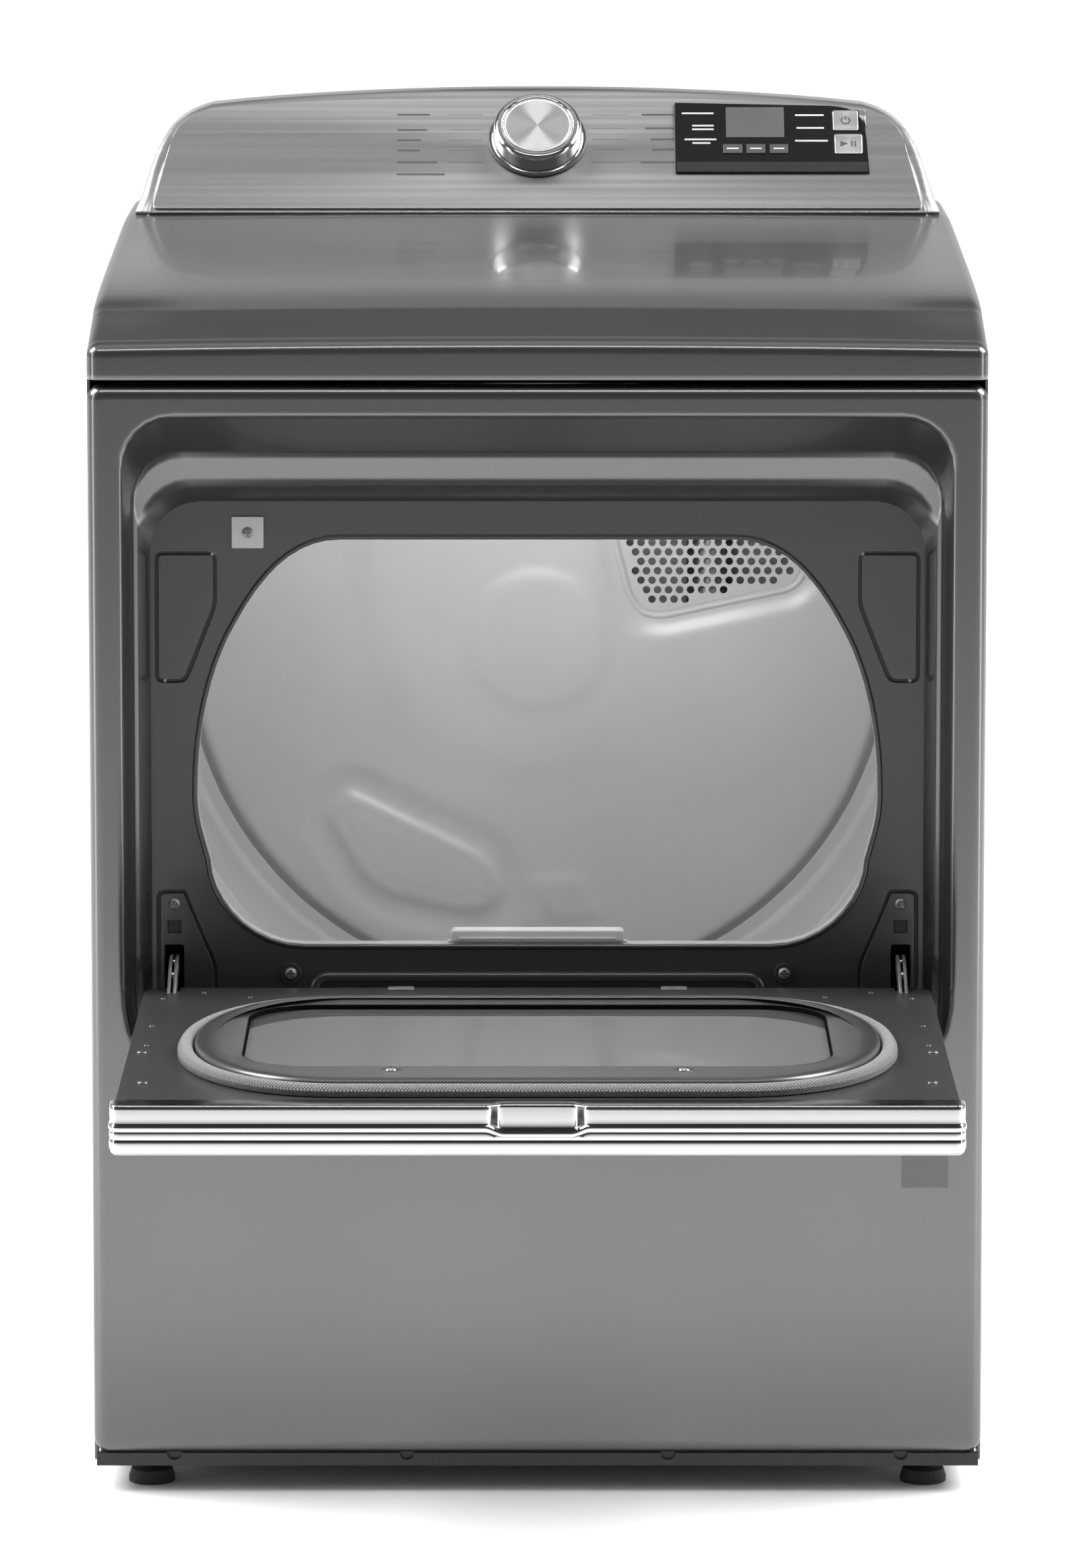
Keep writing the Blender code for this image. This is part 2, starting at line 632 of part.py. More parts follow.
def inlet_outline(grow=0.0):
    """The hot-air inlet: a tall shape whose lower edge rises to the right."""
    low_left, high = 0.597, 0.765 + grow
    return [
        (0.068 - grow, high),
        (0.068 - grow, 0.659),
        (0.080 - grow, 0.612),
        (0.090, low_left + 0.002 - grow),
        (0.105, low_left - grow),
        (0.213 + grow, 0.620 - grow),
        (0.222 + grow, 0.630),
        (0.222 + grow, high),
    ]


def make_heater():
    """The open-fronted box behind the rear wall that heats the air on its way in."""
    start = REAR_PLATE_Y + SHEET + GAP
    heater = box("heater_box", (0.055, 0.235), (start, 0.690), (0.420, 0.790), "galvanised")
    hollow = box("heater_hollow", (0.057, 0.233), (0.63, 0.688), (0.41, 0.788))
    combine(heater, [hollow])
    tube("heating_element", 0.019, 0.015, (0.145, 0.665, 0), 0.450, 0.760, "Z", "galvanised", steps=24)


def make_drum_lamp():
    back = REAR_PLATE_Y - GAP
    profile = [(0, 0.6325), (0.016, 0.6330), (0.040, 0.6370), (0.042, back), (0.010, back)]
    profile += [(0.010, 0.652), (0, 0.652)]
    lathe("drum_lamp", profile[::-1], (-0.067, 0, 0.664), "Y", "lamp_lens", steps=40, closed=False)


def roller_centre(side):
    reach = DRUM_R + ROLLER_R + GAP
    return side * reach * math.sin(ROLLER_ANGLE), DRUM_Z - reach * math.cos(ROLLER_ANGLE)


def make_rollers():
    for side, word in ((-1, "left"), (1, "right")):
        x, z = roller_centre(side)
        axis = empty(f"roller_axis_{word}", (x, 0, z), FRAME)
        name = f"drum_roller_{word}"
        roller = tube(name, ROLLER_R, 0.0055, (x, 0, z), 0.592, 0.618, "Y", "rubber", axis, 40)
        roller.location = (0, 0, 0)


def belt_normal(side):
    """The outward direction of a straight stretch of the belt."""
    run = Vector((MOTOR_X, MOTOR_Z - DRUM_Z))
    spread = math.acos((belt_radius(DRUM_R) - belt_radius(PULLEY_R)) / run.length)
    angle = math.atan2(run.y, run.x) + side * spread
    return Vector((math.cos(angle), math.sin(angle)))


def belt_radius(pulley):
    return pulley + GAP + BELT_THICK / 2


def belt_outline(offset):
    """The belt's path round the drum and the motor pulley, moved outwards by the offset."""
    right, left = belt_normal(1), belt_normal(-1)
    start = math.degrees(math.atan2(right.y, right.x))
    low = math.degrees(math.atan2(left.y, left.x))
    over = arc((0, DRUM_Z), belt_radius(DRUM_R) + offset, start, low + 360, 60)
    under = arc((MOTOR_X, MOTOR_Z), belt_radius(PULLEY_R) + offset, low, start, 8)
    return over + under


def idler_centre():
    normal = belt_normal(1)
    pulley = Vector((MOTOR_X, MOTOR_Z)) + normal * belt_radius(PULLEY_R)
    drum = Vector((0, DRUM_Z)) + normal * belt_radius(DRUM_R)
    return pulley.lerp(drum, 0.25) + normal * (BELT_THICK / 2 + GAP + IDLER_R)


def make_drive():
    """The motor with its fan and pulley, the idler and the belt."""
    centre = (MOTOR_X, 0, MOTOR_Z)
    shell = [(0.0055, 0.340), (0.035, 0.340), (0.060, 0.325)]
    shell += [(0.060, 0.225), (0.035, 0.205), (0.0055, 0.205)]
    motor = lathe("motor_housing", shell, centre, material="galvanised", steps=40)
    inside = [(0.0, 0.332), (0.033, 0.332), (0.056, 0.320), (0.056, 0.230), (0.033, 0.213), (0.0, 0.213)]
    combine(motor, [lathe("motor_hollow", inside, centre, steps=40, closed=False)])
    axis = empty("motor_axis", centre, FRAME)
    rod, flange = 0.005, PULLEY_R + 0.003
    pulley = [(0, 0.372), (rod, 0.372), (rod, 0.368), (flange, 0.368), (flange, 0.3655)]
    pulley += [(PULLEY_R, 0.3650), (PULLEY_R, 0.3550), (flange, 0.3545), (flange, 0.352)]
    rotor = [(rod, 0.352), (rod, 0.320), (0.040, 0.310), (0.040, 0.240), (rod, 0.230), (rod, 0.120)]
    profile = [*pulley, *rotor, (0, 0.120)]
    shaft = lathe("motor_shaft", profile, (0, 0, 0), "Y", "galvanised", axis, 32, closed=False)
    shaft.location = (0, 0, 0)
    make_blower(axis)
    bracket = box("motor_bracket", (0.085, 0.175), (0.235, 0.315), (0.0225, 0.0785), "galvanised")
    clear = box("bracket_clear", (0.088, 0.172), (0.22, 0.33), (0.0255, 0.0745))
    combine(bracket, [clear])
    half_width = 0.0035
    path = belt_outline(BELT_THICK / 2)
    belt = prism("drum_belt", path, BELT_Y - half_width, BELT_Y + half_width, "rubber")
    path = belt_outline(-BELT_THICK / 2)
    combine(belt, [prism("belt_inside", path, BELT_Y - 3 * half_width, BELT_Y + 3 * half_width)])
    x, z = idler_centre()
    idler_axis = empty("idler_axis", (x, 0, z), FRAME)
    centre = (x, 0, z)
    wheel = tube("idler_pulley", IDLER_R, 0.0045, centre, 0.352, 0.368, "Y", "white_plastic", idler_axis, 40)
    wheel.location = (0, 0, 0)
    arm = box("idler_arm", (x - 0.011, x + 0.011), (0.370, 0.373), (WALL_LOW, z + 0.015), "galvanised")
    combine(arm, [disc("idler_pin", 0.004, (x, 0, z), 0.348, 0.372, steps=16)], "UNION")


def make_blower(axis):
    """The fan wheel in its housing, which draws air from the lint duct and sends it down the exhaust."""
    profile = [(0.0053, 0.160), (0.085, 0.160), (0.085, 0.1575)]
    profile += [(0.015, 0.1575), (0.015, 0.125), (0.0053, 0.125)]
    wheel = lathe("blower_wheel", profile, (0, 0, 0), "Y", "dark_plastic", axis, 40)
    wheel.location = (0, 0, 0)
    blades = []
    for number in range(12):
        blade = box(f"fan_blade_{number}", (0.062, 0.084), (0.112, 0.159), (-0.001, 0.001), parent=axis)
        blade.location = (0, 0, 0)
        blade.rotation_euler.y = math.radians(30 * number)
        blades.append(blade)
    combine(wheel, blades, "UNION")
    scroll = [disc("scroll", 0.100, (MOTOR_X, 0, MOTOR_Z), 0.100, 0.170, steps=48)]
    scroll.append(box("scroll_outlet", (-0.058, MOTOR_X), (0.100, 0.170), (0.040, 0.170)))
    housing = box("blower_housing", (0.02, 0.10), (0.100, 0.170), (0.040, 0.100), "galvanised")
    combine(housing, scroll, "UNION")
    hollows = [
        disc("scroll_hollow", 0.098, (MOTOR_X, 0, MOTOR_Z), 0.102, 0.168, steps=48),
        box("outlet_hollow", (-0.056, MOTOR_X), (0.102, 0.168), (0.042, 0.168)),
        disc("blower_inlet", 0.060, (MOTOR_X, 0, MOTOR_Z), 0.09, 0.11),
        disc("blower_shaft_hole", 0.012, (MOTOR_X, 0, MOTOR_Z), 0.16, 0.18, steps=24),
        disc("blower_outlet", DUCT_R - 0.002, (0, 0, DUCT_Z), 0.16, 0.18),
    ]
    return combine(housing, hollows)


def make_ducts():
    centre = (0, 0, DUCT_Z)
    tube("exhaust_duct", DUCT_R, DUCT_R - 0.0015, centre, 0.1703, EXHAUST_REACH, "Y", "galvanised", steps=40)
    y = (BULKHEAD_Y + SHEET + GAP, 0.097)
    duct = box("lint_duct", (-0.076, 0.076), y, (0.045, 0.4125), "dark_plastic")
    wing = box("lint_duct_wing", (0.0, 0.215), y, (0.045, 0.235))
    combine(duct, [wing], "UNION")
    hollows = [
        box("duct_hollow", (-0.074, 0.074), (y[0] + 0.0015, 0.0955), (0.047, 0.43)),
        box("wing_hollow", (0.0, 0.213), (y[0] + 0.0015, 0.0955), (0.047, 0.233)),
        disc("duct_outlet", 0.060, (MOTOR_X, 0, MOTOR_Z), 0.09, 0.10),
    ]
    combine(duct, hollows)


def make_lint_screen():
    """The screen that slides into the lint duct, lifted by its grip. Thin panes stand for its mesh."""
    screen = box("lint_screen", (-0.0700, 0.0700), (0.0640, 0.0700), (0.215, 0.421), "white_plastic")
    grip = box("lint_grip", (-0.0672, 0.0672), (0.0612, 0.0750), (0.4200, 0.4305))
    combine(screen, [grip], "UNION")
    windows = [
        box(f"screen_window_{i}", (-0.064 + 0.033 * i, -0.036 + 0.033 * i), (0.0655, 0.08), (0.222, 0.405))
        for i in range(4)
    ]
    return combine(screen, windows)


def make_terminal_cover():
    cover = box("terminal_cover", (0.19, 0.29), (CABINET_DEPTH + GAP, 0.712), (0.70, 0.80), "galvanised")
    combine(cover, [box("terminal_hollow", (0.192, 0.288), (0.69, 0.710), (0.702, 0.798))])


# ---------------------------------------------------------------- door


def make_door():
    axis = empty("door_hinge_axis", (0, HINGE_Y, HINGE_Z), FRAME)
    tray_top = DOOR_TOP - SHEET - GAP
    tray = prism("door_outer_panel", door_outline(), DOOR_LOW, tray_top, "slate_paint", axis, "XY")
    floor = DOOR_LOW + SHEET
    hollow = prism("tray_hollow", door_outline(SHEET), floor, DOOR_TOP + 0.01, parent=axis, plane="XY")
    notches = [
        box(f"tray_notch_{side}", arm_gap(side), (0.01, 0.04), (0.368, 0.40), parent=axis)
        for side in (-1, 1)
    ]
    combine(tray, [hollow, *notches])
    make_inner_panel(axis)
    window = window_outline(-0.0005)
    prism("door_window", window, 0.3925, 0.3960, "dark_glass", axis, "XY")
    outside, inside = dish_outline(SEAL_WIDTH), dish_outline(0.0005)
    seal = prism("door_seal", outside, DOOR_TOP + GAP, 0.4045, "felt", axis, "XY")
    combine(seal, [prism("seal_inside", inside, 0.38, 0.42, parent=axis, plane="XY")])
    make_handle(axis)
    magnet_z = (DOOR_LOW + SHEET + 0.012, DOOR_TOP - SHEET - GAP)
    box("door_magnet", (-0.2378, -0.2078), (-0.394, -0.372), magnet_z, "dark_plastic", axis)
    for side, word in ((-1, "left"), (1, "right")):
        make_hinge_arm(side, word, axis)


def door_outline(inset=0.0):
    """The door panel from above: square at the handle, round at the hinge."""
    half, front, back = DOOR_HALF - inset, DOOR_FRONT + inset, DOOR_BACK - inset
    radius = DOOR_CORNER - inset
    corner = arc((half - radius, back - radius), radius, 0, 90, 5)
    return [(-half, front), (half, front), *corner, *[(-x, y) for x, y in reversed(corner)]]


def arm_gap(side):
    """The width that a hinge arm needs in the door's back edge."""
    return sorted((side * (ARM_X - 0.006), side * (ARM_X + 0.006)))


def make_inner_panel(axis):
    """The liner with its raised oval dish and the window's opening."""
    low, high = DOOR_TOP - SHEET, DOOR_TOP
    panel = prism("door_inner_panel", door_outline(), low, high, "bulkhead_grey", axis, "XY")
    dish = prism("dish", dish_outline(), DOOR_TOP - 0.001, DISH_TOP, parent=axis, plane="XY")
    under = prism("dish_under", dish_outline(-SHEET), 0.37, DISH_TOP - SHEET, parent=axis, plane="XY")
    ledge = prism("window_wall", window_outline(0.0022), 0.3900, DISH_TOP - 0.001, parent=axis, plane="XY")
    hole = prism("window_hole", window_outline(), 0.37, 0.42, parent=axis, plane="XY")
    combine(panel, [dish], "UNION")
    combine(panel, [under])
    combine(panel, [ledge], "UNION")
    notches = [
        box(f"liner_notch_{side}", arm_gap(side), (-0.016, 0.04), (0.37, 0.42), parent=axis)
        for side in (-1, 1)
    ]
    return combine(panel, [hole, *notches])


def make_handle(axis):
    """The full-width bar on the door's free edge, with a finger scoop in the middle."""
    front, back = -DOOR_REACH, DOOR_FRONT - GAP
    radius = 0.0084
    outline = [(0.307, back), (-0.307, back)]
    outline += arc((-0.307 + radius, front + radius), radius, 180, 270, 4)
    outline += arc((0.307 - radius, front + radius), radius, 270, 360, 4)
    bar = prism("door_handle", outline, DOOR_LOW, DOOR_TOP, "chrome", axis, "XY")
    scoop = [(-0.036, -0.40), (-0.036, -0.44), (0.036, -0.44), (0.036, -0.40)]
    cuts = [prism("finger_scoop", scoop, 0.3800, 0.40, parent=axis, plane="XY")]
    cuts.append(box("handle_groove", (-0.32, 0.32), (-0.44, front + 0.003), (0.3690, 0.3705), parent=axis))
    return combine(bar, cuts)


def make_hinge_arm(side, word, axis):
    """A flat hook that ties the door to the cabinet and swings through the bulkhead's slot."""
    upper = [(-0.013, 0.3835), (0.008, 0.3950), (0.030, 0.4060), (0.050, 0.4120), (0.074, 0.4090)]
    lower = [(0.078, 0.4000), (0.052, 0.3985), (0.034, 0.3940), (0.012, 0.3800), (-0.008, 0.3700)]
    outline = upper + lower
    x = sorted((side * (ARM_X - 0.0035), side * (ARM_X + 0.0035)))
    return prism(f"hinge_arm_{word}", outline, x[0], x[1], "galvanised", axis, "YZ")


BASE = make_base()
make_feet(BASE)
make_front_panel()
make_side_panels()
make_rear_panel()
make_toe_strip()
make_top_panel()
make_console_housing()
make_fascia()
make_display()
make_knob()
make_front_bulkhead()
make_bulkhead_fittings()
make_drum()
make_rear_bulkhead()
make_heater()
make_drum_lamp()
make_rollers()
make_drive()
make_ducts()
make_lint_screen()
make_terminal_cover()
make_door()
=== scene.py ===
"""The looks of a clothes dryer with its drop-down door open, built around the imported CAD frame.

Metres. Pieces are written in the cabinet's own frame, where Y = 0 is the front plane, Z = 0 is the
floor and X = 0 is the middle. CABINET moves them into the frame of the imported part. Console pieces
have their own plane: X across, Y up its slope, Z outwards.
"""

import json
import math

import bmesh
import bpy
from mathutils import Matrix, Vector


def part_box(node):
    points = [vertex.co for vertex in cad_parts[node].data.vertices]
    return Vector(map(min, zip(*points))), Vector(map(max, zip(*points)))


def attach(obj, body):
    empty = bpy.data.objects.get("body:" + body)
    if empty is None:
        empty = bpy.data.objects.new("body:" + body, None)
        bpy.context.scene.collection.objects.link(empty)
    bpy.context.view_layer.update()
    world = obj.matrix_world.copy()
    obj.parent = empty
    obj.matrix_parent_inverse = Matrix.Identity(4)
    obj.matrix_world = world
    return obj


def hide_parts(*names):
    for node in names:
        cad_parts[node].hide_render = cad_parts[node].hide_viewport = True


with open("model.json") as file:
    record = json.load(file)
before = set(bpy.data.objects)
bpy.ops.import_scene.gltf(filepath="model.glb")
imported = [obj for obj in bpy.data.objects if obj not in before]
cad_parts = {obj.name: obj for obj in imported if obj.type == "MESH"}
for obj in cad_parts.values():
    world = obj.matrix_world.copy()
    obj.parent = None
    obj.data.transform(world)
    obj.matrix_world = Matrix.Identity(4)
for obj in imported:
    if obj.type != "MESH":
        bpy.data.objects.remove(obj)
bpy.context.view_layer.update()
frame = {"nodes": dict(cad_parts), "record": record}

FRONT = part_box("front_panel")[0].y
CABINET = Matrix.Translation((0, FRONT, 0))
FACE_Y, FACE_Z = 0.562, 0.948
CONSOLE = Matrix.Translation((0, FACE_Y + FRONT, FACE_Z)) @ Matrix.Rotation(math.radians(45), 4, "X")
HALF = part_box("front_panel")[1].x
FRONT_LOW, FRONT_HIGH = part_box("front_panel")[0].z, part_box("front_panel")[1].z
TOP_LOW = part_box("top_panel")[0].z
BULKHEAD_Y = 0.058
LID_HALF, LID_FRONT_Z = 0.333, 0.896
CONSOLE_LOW, CONSOLE_BACK = 0.9425, 0.6968
DRUM_Z = 0.574
DRUM_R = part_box("drum_shell")[1].x
REAR_Y = 0.64
KNOB_S = 0.071
DOOR_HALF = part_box("door_outer_panel")[1].x
DOOR_FRONT, DOOR_BACK = -0.405, 0.025
DOOR_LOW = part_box("door_outer_panel")[0].z
DOOR_TOP = 0.3916
ARM_X = 0.281
ARM_SLOT_X = (0.274, 0.288)
ARM_SLOT_Z = (0.28, 0.36)
SIDES = ((-1, "left"), (1, "right"))


# ---------------------------------------------------------------- outlines


def arc(centre, radius, start, end, steps):
    """Points of an arc in degrees, both ends included."""
    turns = [math.radians(start + (end - start) * i / steps) for i in range(steps + 1)]
    return [(centre[0] + radius * math.cos(t), centre[1] + radius * math.sin(t)) for t in turns]


def circle(centre, radius, steps=32):
    """Points of a whole circle, the first not repeated."""
    return arc(centre, radius, 0, 360, steps)[:-1]


def curve_through(a, b, c, d, steps):
    """Points of a cubic curve, its last one left out."""
    points = []
    for i in range(steps):
        t = i / steps
        weights = ((1 - t) ** 3, 3 * t * (1 - t) ** 2, 3 * t * t * (1 - t), t**3)
        points.append(tuple(sum(w * p[k] for w, p in zip(weights, (a, b, c, d))) for k in range(len(a))))
    return points


def rounded(points, radius, steps=4, closed=True):
    """The same path with its corners rounded. It works on points with any number of values."""
    count = len(points)
    path = []
    for i, point in enumerate(points):
        if not closed and i in (0, count - 1):
            path.append(tuple(point))
            continue
        here = Vector(point)
        before, after = Vector(points[i - 1]) - here, Vector(points[(i + 1) % count]) - here
        reach = min(radius, 0.49 * before.length, 0.49 * after.length)
        start, end = here + before.normalized() * reach, here + after.normalized() * reach
        for k in range(steps + 1):
            t = k / steps
            path.append(tuple(start * (1 - t) ** 2 + here * (2 * t * (1 - t)) + end * t * t))
    return path


def grown(outline, by):
    """A closed outline moved outwards by a distance. It runs anticlockwise."""
    moved = []
    for before, here, after in zip(outline[-1:] + outline[:-1], outline, outline[1:] + outline[:1]):
        run = (Vector(here) - Vector(before)).normalized()
        follow = (Vector(after) - Vector(here)).normalized()
        along = (run + follow).normalized()
        moved.append((here[0] + by * along.y, here[1] - by * along.x))
    return moved


def mirrored(outline):
    """The outline on the other side of the middle, still anticlockwise."""
    return [(-x, y) for x, y in reversed(outline)]


def rectangle(x, y, radius=0.0, steps=4):
    """A rectangle between two values across and two up, with its corners rounded if asked."""
    corners = [(x[0], y[0]), (x[1], y[0]), (x[1], y[1]), (x[0], y[1])]
    return rounded(corners, radius, steps) if radius else corners


def oval(half, near, far, across, up, power, steps=24):
    """A rounded outline between two Y values. Each corner is a superellipse, across by up."""
    middle, depth = (near + far) / 2, (far - near) / 2
    right = []
    for i in range(2 * steps + 1):
        turn = math.pi * (i / (2 * steps) - 0.5)
        c, s = math.cos(turn), math.sin(turn)
        if i == steps:
            right += [
                (half, middle - depth + up), (half, middle + depth - up)
            ] if depth > up else [(half, middle)]
            continue
        x = half - across + across * abs(c) ** (2 / power)
        centre = middle + math.copysign(depth - up, s)
        right.append((x, centre + up * math.copysign(abs(s) ** (2 / power), s)))
    return right + [(-x, y) for x, y in reversed(right)]


def dish_outline(grow=0.0):
    """The door's raised dish from above: straight in front and behind, with elliptical ends."""
    near, far = -0.3872 - grow, -0.0608 + grow
    return oval(0.2532 + grow, near, far, 0.1132 + grow, (far - near) / 2, 2.15)


def window_outline(grow=0.0):
    """The window from above, a rectangle with round corners."""
    return oval(0.216 + grow, -0.326 - grow, -0.086 + grow, 0.052 + grow, 0.052 + grow, 2)


def flat_rings(outline, section):
    """Level copies of an outline, one for each (grow, height) of a section."""
    return [[(x, y, z) for x, y in outline(by)] for by, z in section]


def upright_rings(outline, section, start=0.0):
    """Upright copies of an outline, one for each (grow, depth) of a section."""
    return [[(x, start + y, z) for x, z in outline(by)] for by, y in section]


def smooth_step(value, start, end):
    """0 before start, 1 after end, and an even ease between."""
    t = min(1.0, max(0.0, (value - start) / (end - start)))
    return t * t * (3 - 2 * t)


# ---------------------------------------------------------------- meshes


def finished(shape):
    """The bmesh as a mesh whose normals all face outwards."""
    bmesh.ops.recalc_face_normals(shape, faces=shape.faces)
    mesh = bpy.data.meshes.new("mesh")
    shape.to_mesh(mesh)
    shape.free()
    return mesh


def welded(mesh, reach):
    """The mesh with vertices closer than the reach made one."""
    shape = bmesh.new()
    shape.from_mesh(mesh)
    bmesh.ops.remove_doubles(shape, verts=shape.verts, dist=reach)
    return finished(shape)


def skin(rings, closed=True, caps=(False, False)):
    """Quads between rings with the same number of points, with a UV map in metres along and across."""
    shape = bmesh.new()
    loops = [[shape.verts.new(point) for point in ring] for ring in rings]
    layer = shape.loops.layers.uv.new("UVMap")
    count = len(rings[0])
    across = 0.0
    for first, second in zip(loops, loops[1:]):
        step = (first[0].co - second[0].co).length
        along = 0.0
        for i in range(count if closed else count - 1):
            k = (i + 1) % count
            length = (second[i].co - second[k].co).length
            face = shape.faces.new((first[i], first[k], second[k], second[i]))
            places = ((0, 0), (1, 0), (1, 1), (0, 1))
            for loop, (u, v) in zip(face.loops, places):
                loop[layer].uv = (along + u * length, across + v * step)
            along += length
        across += step
    for wanted, ring in zip(caps, (loops[0], loops[-1])):
        if wanted:
            shape.faces.new(ring)
    return finished(shape)


def turned(profile, steps=96):
    """A turned shape about Z from (radius, height) points. Points on the axis close it."""
    shape = bmesh.new()
    rings = []
    for radius, height in profile:
        if radius < 1e-6:
            rings.append([shape.verts.new((0, 0, height))])
        else:
            rings.append([shape.verts.new((*p, height)) for p in circle((0, 0), radius, steps)])
    for first, second in zip(rings, rings[1:]):
        for i in range(steps):
            k = (i + 1) % steps
            corners = [
                first[i % len(first)], first[k % len(first)], second[k % len(second)], second[i % len(second)]
            ]
            corners = list(dict.fromkeys(corners))
            if len(corners) > 2:
                shape.faces.new(corners)
    return finished(shape)


LAID = {
    "XY": (2, Matrix()),
    "XZ": (1, Matrix.Rotation(math.radians(90), 4, "X")),
    "YZ": (0, Matrix(((0, 0, 1, 0), (1, 0, 0, 0), (0, 1, 0, 0), (0, 0, 0, 1)))),
}


def filled_outlines(outlines, thick, bevel, steps):
    """A bevelled flat mesh about Z = 0, filled between the outlines."""
    curve = bpy.data.curves.new("outline", "CURVE")
    curve.dimensions = "2D"
    curve.fill_mode = "BOTH"
    curve.extrude = thick / 2 - bevel
    curve.bevel_depth = bevel
    curve.bevel_resolution = steps
    curve.offset = -bevel
    for outline in outlines:
        spline = curve.splines.new("POLY")
        spline.points.add(len(outline) - 1)
        for point, (u, v) in zip(spline.points, outline):
            point.co = (u, v, 0, 1)
        spline.use_cyclic_u = True
    holder = bpy.data.objects.new("outline", curve)
    bpy.context.scene.collection.objects.link(holder)
    graph = bpy.context.evaluated_depsgraph_get()
    made = bpy.data.meshes.new_from_object(holder.evaluated_get(graph))
    bpy.data.objects.remove(holder, do_unlink=True)
    return made


def plate(outlines, low, high, bevel=0.0, steps=2, plane="XY"):
    """A flat plate from closed outlines: the first is its edge, the rest are holes or islands in them.

    Plane XY is thick along Z, XZ along Y and YZ along X.
    """
    axis, turn = LAID[plane]
    middle = [0.0, 0.0, 0.0]
    middle[axis] = (low + high) / 2
    shape = bmesh.new()
    shape.from_mesh(filled_outlines(outlines, high - low, bevel, steps))
    bmesh.ops.remove_doubles(shape, verts=shape.verts, dist=1e-6)
    bmesh.ops.transform(shape, matrix=Matrix.Translation(middle) @ turn, verts=shape.verts)
    return finished(shape)


def swept(path, radius, sides=12):
    """A round bar along a path of points."""
    points = [Vector(p) for p in path]
    rings = []
    for i, here in enumerate(points):
        before, after = points[max(i - 1, 0)], points[min(i + 1, len(points) - 1)]
        along = (after - before).normalized()
        side = along.cross(Vector((0, 0, 1)))
        side = side.normalized() if side.length > 1e-4 else Vector((1, 0, 0))
        up = side.cross(along)
        ring = []
        for k in range(sides):
            turn = 2 * math.pi * k / sides
            ring.append(here + radius * (side * math.cos(turn) + up * math.sin(turn)))
        rings.append(ring)
    return skin(rings, caps=(True, True))


def piece(
    name, mesh, look, nodes=(), body="cabinet", place=CABINET, angle=38, weighted=True, baked=True
):
    """One visible piece that rides on a body and replaces some CAD nodes.

    Its place is baked into its mesh, except where its look needs the piece's own axes.
    """
    mesh.name = name
    if baked:
        mesh.transform(place)
        place = Matrix()
    obj = bpy.data.objects.new(name, mesh)
    bpy.context.scene.collection.objects.link(obj)
    obj.matrix_world = place
    mesh.materials.clear()
    mesh.materials.append(LOOKS[look])
    mesh.shade_smooth()
    mesh.set_sharp_from_angle(angle=math.radians(angle))
    if weighted:
        normals = obj.modifiers.new("even_normals", "WEIGHTED_NORMAL")
        normals.keep_sharp = True
        normals.weight = 80
    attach(obj, body)
    if nodes:
        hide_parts(*nodes)
    return obj


def near_box(face, low, high, room):
    """Whether a face reaches into a box grown by some room."""
    for k in range(3):
        values = [vert.co[k] for vert in face.verts]
        if max(values) < low[k] - room or min(values) > high[k] + room:
            return False
    return True


def open_box(mesh, low, high):
    """The sheet with its part inside a box cut away along clean edges."""
    shape = bmesh.new()
    shape.from_mesh(mesh)
    for axis in range(3):
        normal = Vector([float(k == axis) for k in range(3)])
        for corner in (low, high):
            faces = [face for face in shape.faces if near_box(face, low, high, 0.002)]
            edges = list({edge for face in faces for edge in face.edges})
            verts = list({vert for face in faces for vert in face.verts})
            bmesh.ops.bisect_plane(shape, geom=faces + edges + verts, plane_co=corner, plane_no=normal)
    inside = [face for face in shape.faces if near_box(face, low, high, -0.00001)]
    bmesh.ops.delete(shape, geom=inside, context="FACES")
    shape.to_mesh(mesh)
    shape.free()
    return mesh


def before_normals(obj, kind, **settings):
    """A modifier placed ahead of the one that evens the normals."""
    modifier = obj.modifiers.new(kind.lower(), kind)
    for key, value in settings.items():
        setattr(modifier, key, value)
    obj.modifiers.move(len(obj.modifiers) - 1, 0)
    return modifier


# ---------------------------------------------------------------- materials


def new_look(name, colour, metallic, roughness, **sockets):
    """A Principled material. Further sockets are named with underscores for spaces."""
    look = bpy.data.materials.new(name)
    look.use_nodes = True
    shader = look.node_tree.nodes["Principled BSDF"]
    shader.inputs["Base Color"].default_value = (*colour, 1)
    shader.inputs["Metallic"].default_value = metallic
    shader.inputs["Roughness"].default_value = roughness
    for socket, value in sockets.items():
        shader.inputs[socket.replace("_", " ")].default_value = value
    return look


def pattern(look, kind, scale, stretch=(1, 1, 1), where="Object", turn=(0, 0, 0), detail=3.0):
    """A texture on the piece's own coordinates, as the socket that holds its value."""
    tree = look.node_tree
    coordinates = tree.nodes.new("ShaderNodeTexCoord")
    mapping = tree.nodes.new("ShaderNodeMapping")
    mapping.inputs["Scale"].default_value = stretch
    mapping.inputs["Rotation"].default_value = turn
    texture = tree.nodes.new(f"ShaderNodeTex{kind}")
    texture.inputs["Scale"].default_value = scale
    if "Detail" in texture.inputs:
        texture.inputs["Detail"].default_value = detail
    tree.links.new(coordinates.outputs[where], mapping.inputs["Vector"])
    tree.links.new(mapping.outputs["Vector"], texture.inputs["Vector"])
    return texture.outputs["Distance" if kind == "Voronoi" else "Fac"]


def spread(look, value, low, high, start=0.3, end=0.7):
    """The value mapped from start..end to low..high."""
    node = look.node_tree.nodes.new("ShaderNodeMapRange")
    for socket, number in (("From Min", start), ("From Max", end), ("To Min", low), ("To Max", high)):
        node.inputs[socket].default_value = number
    look.node_tree.links.new(value, node.inputs["Value"])
    return node.outputs["Result"]


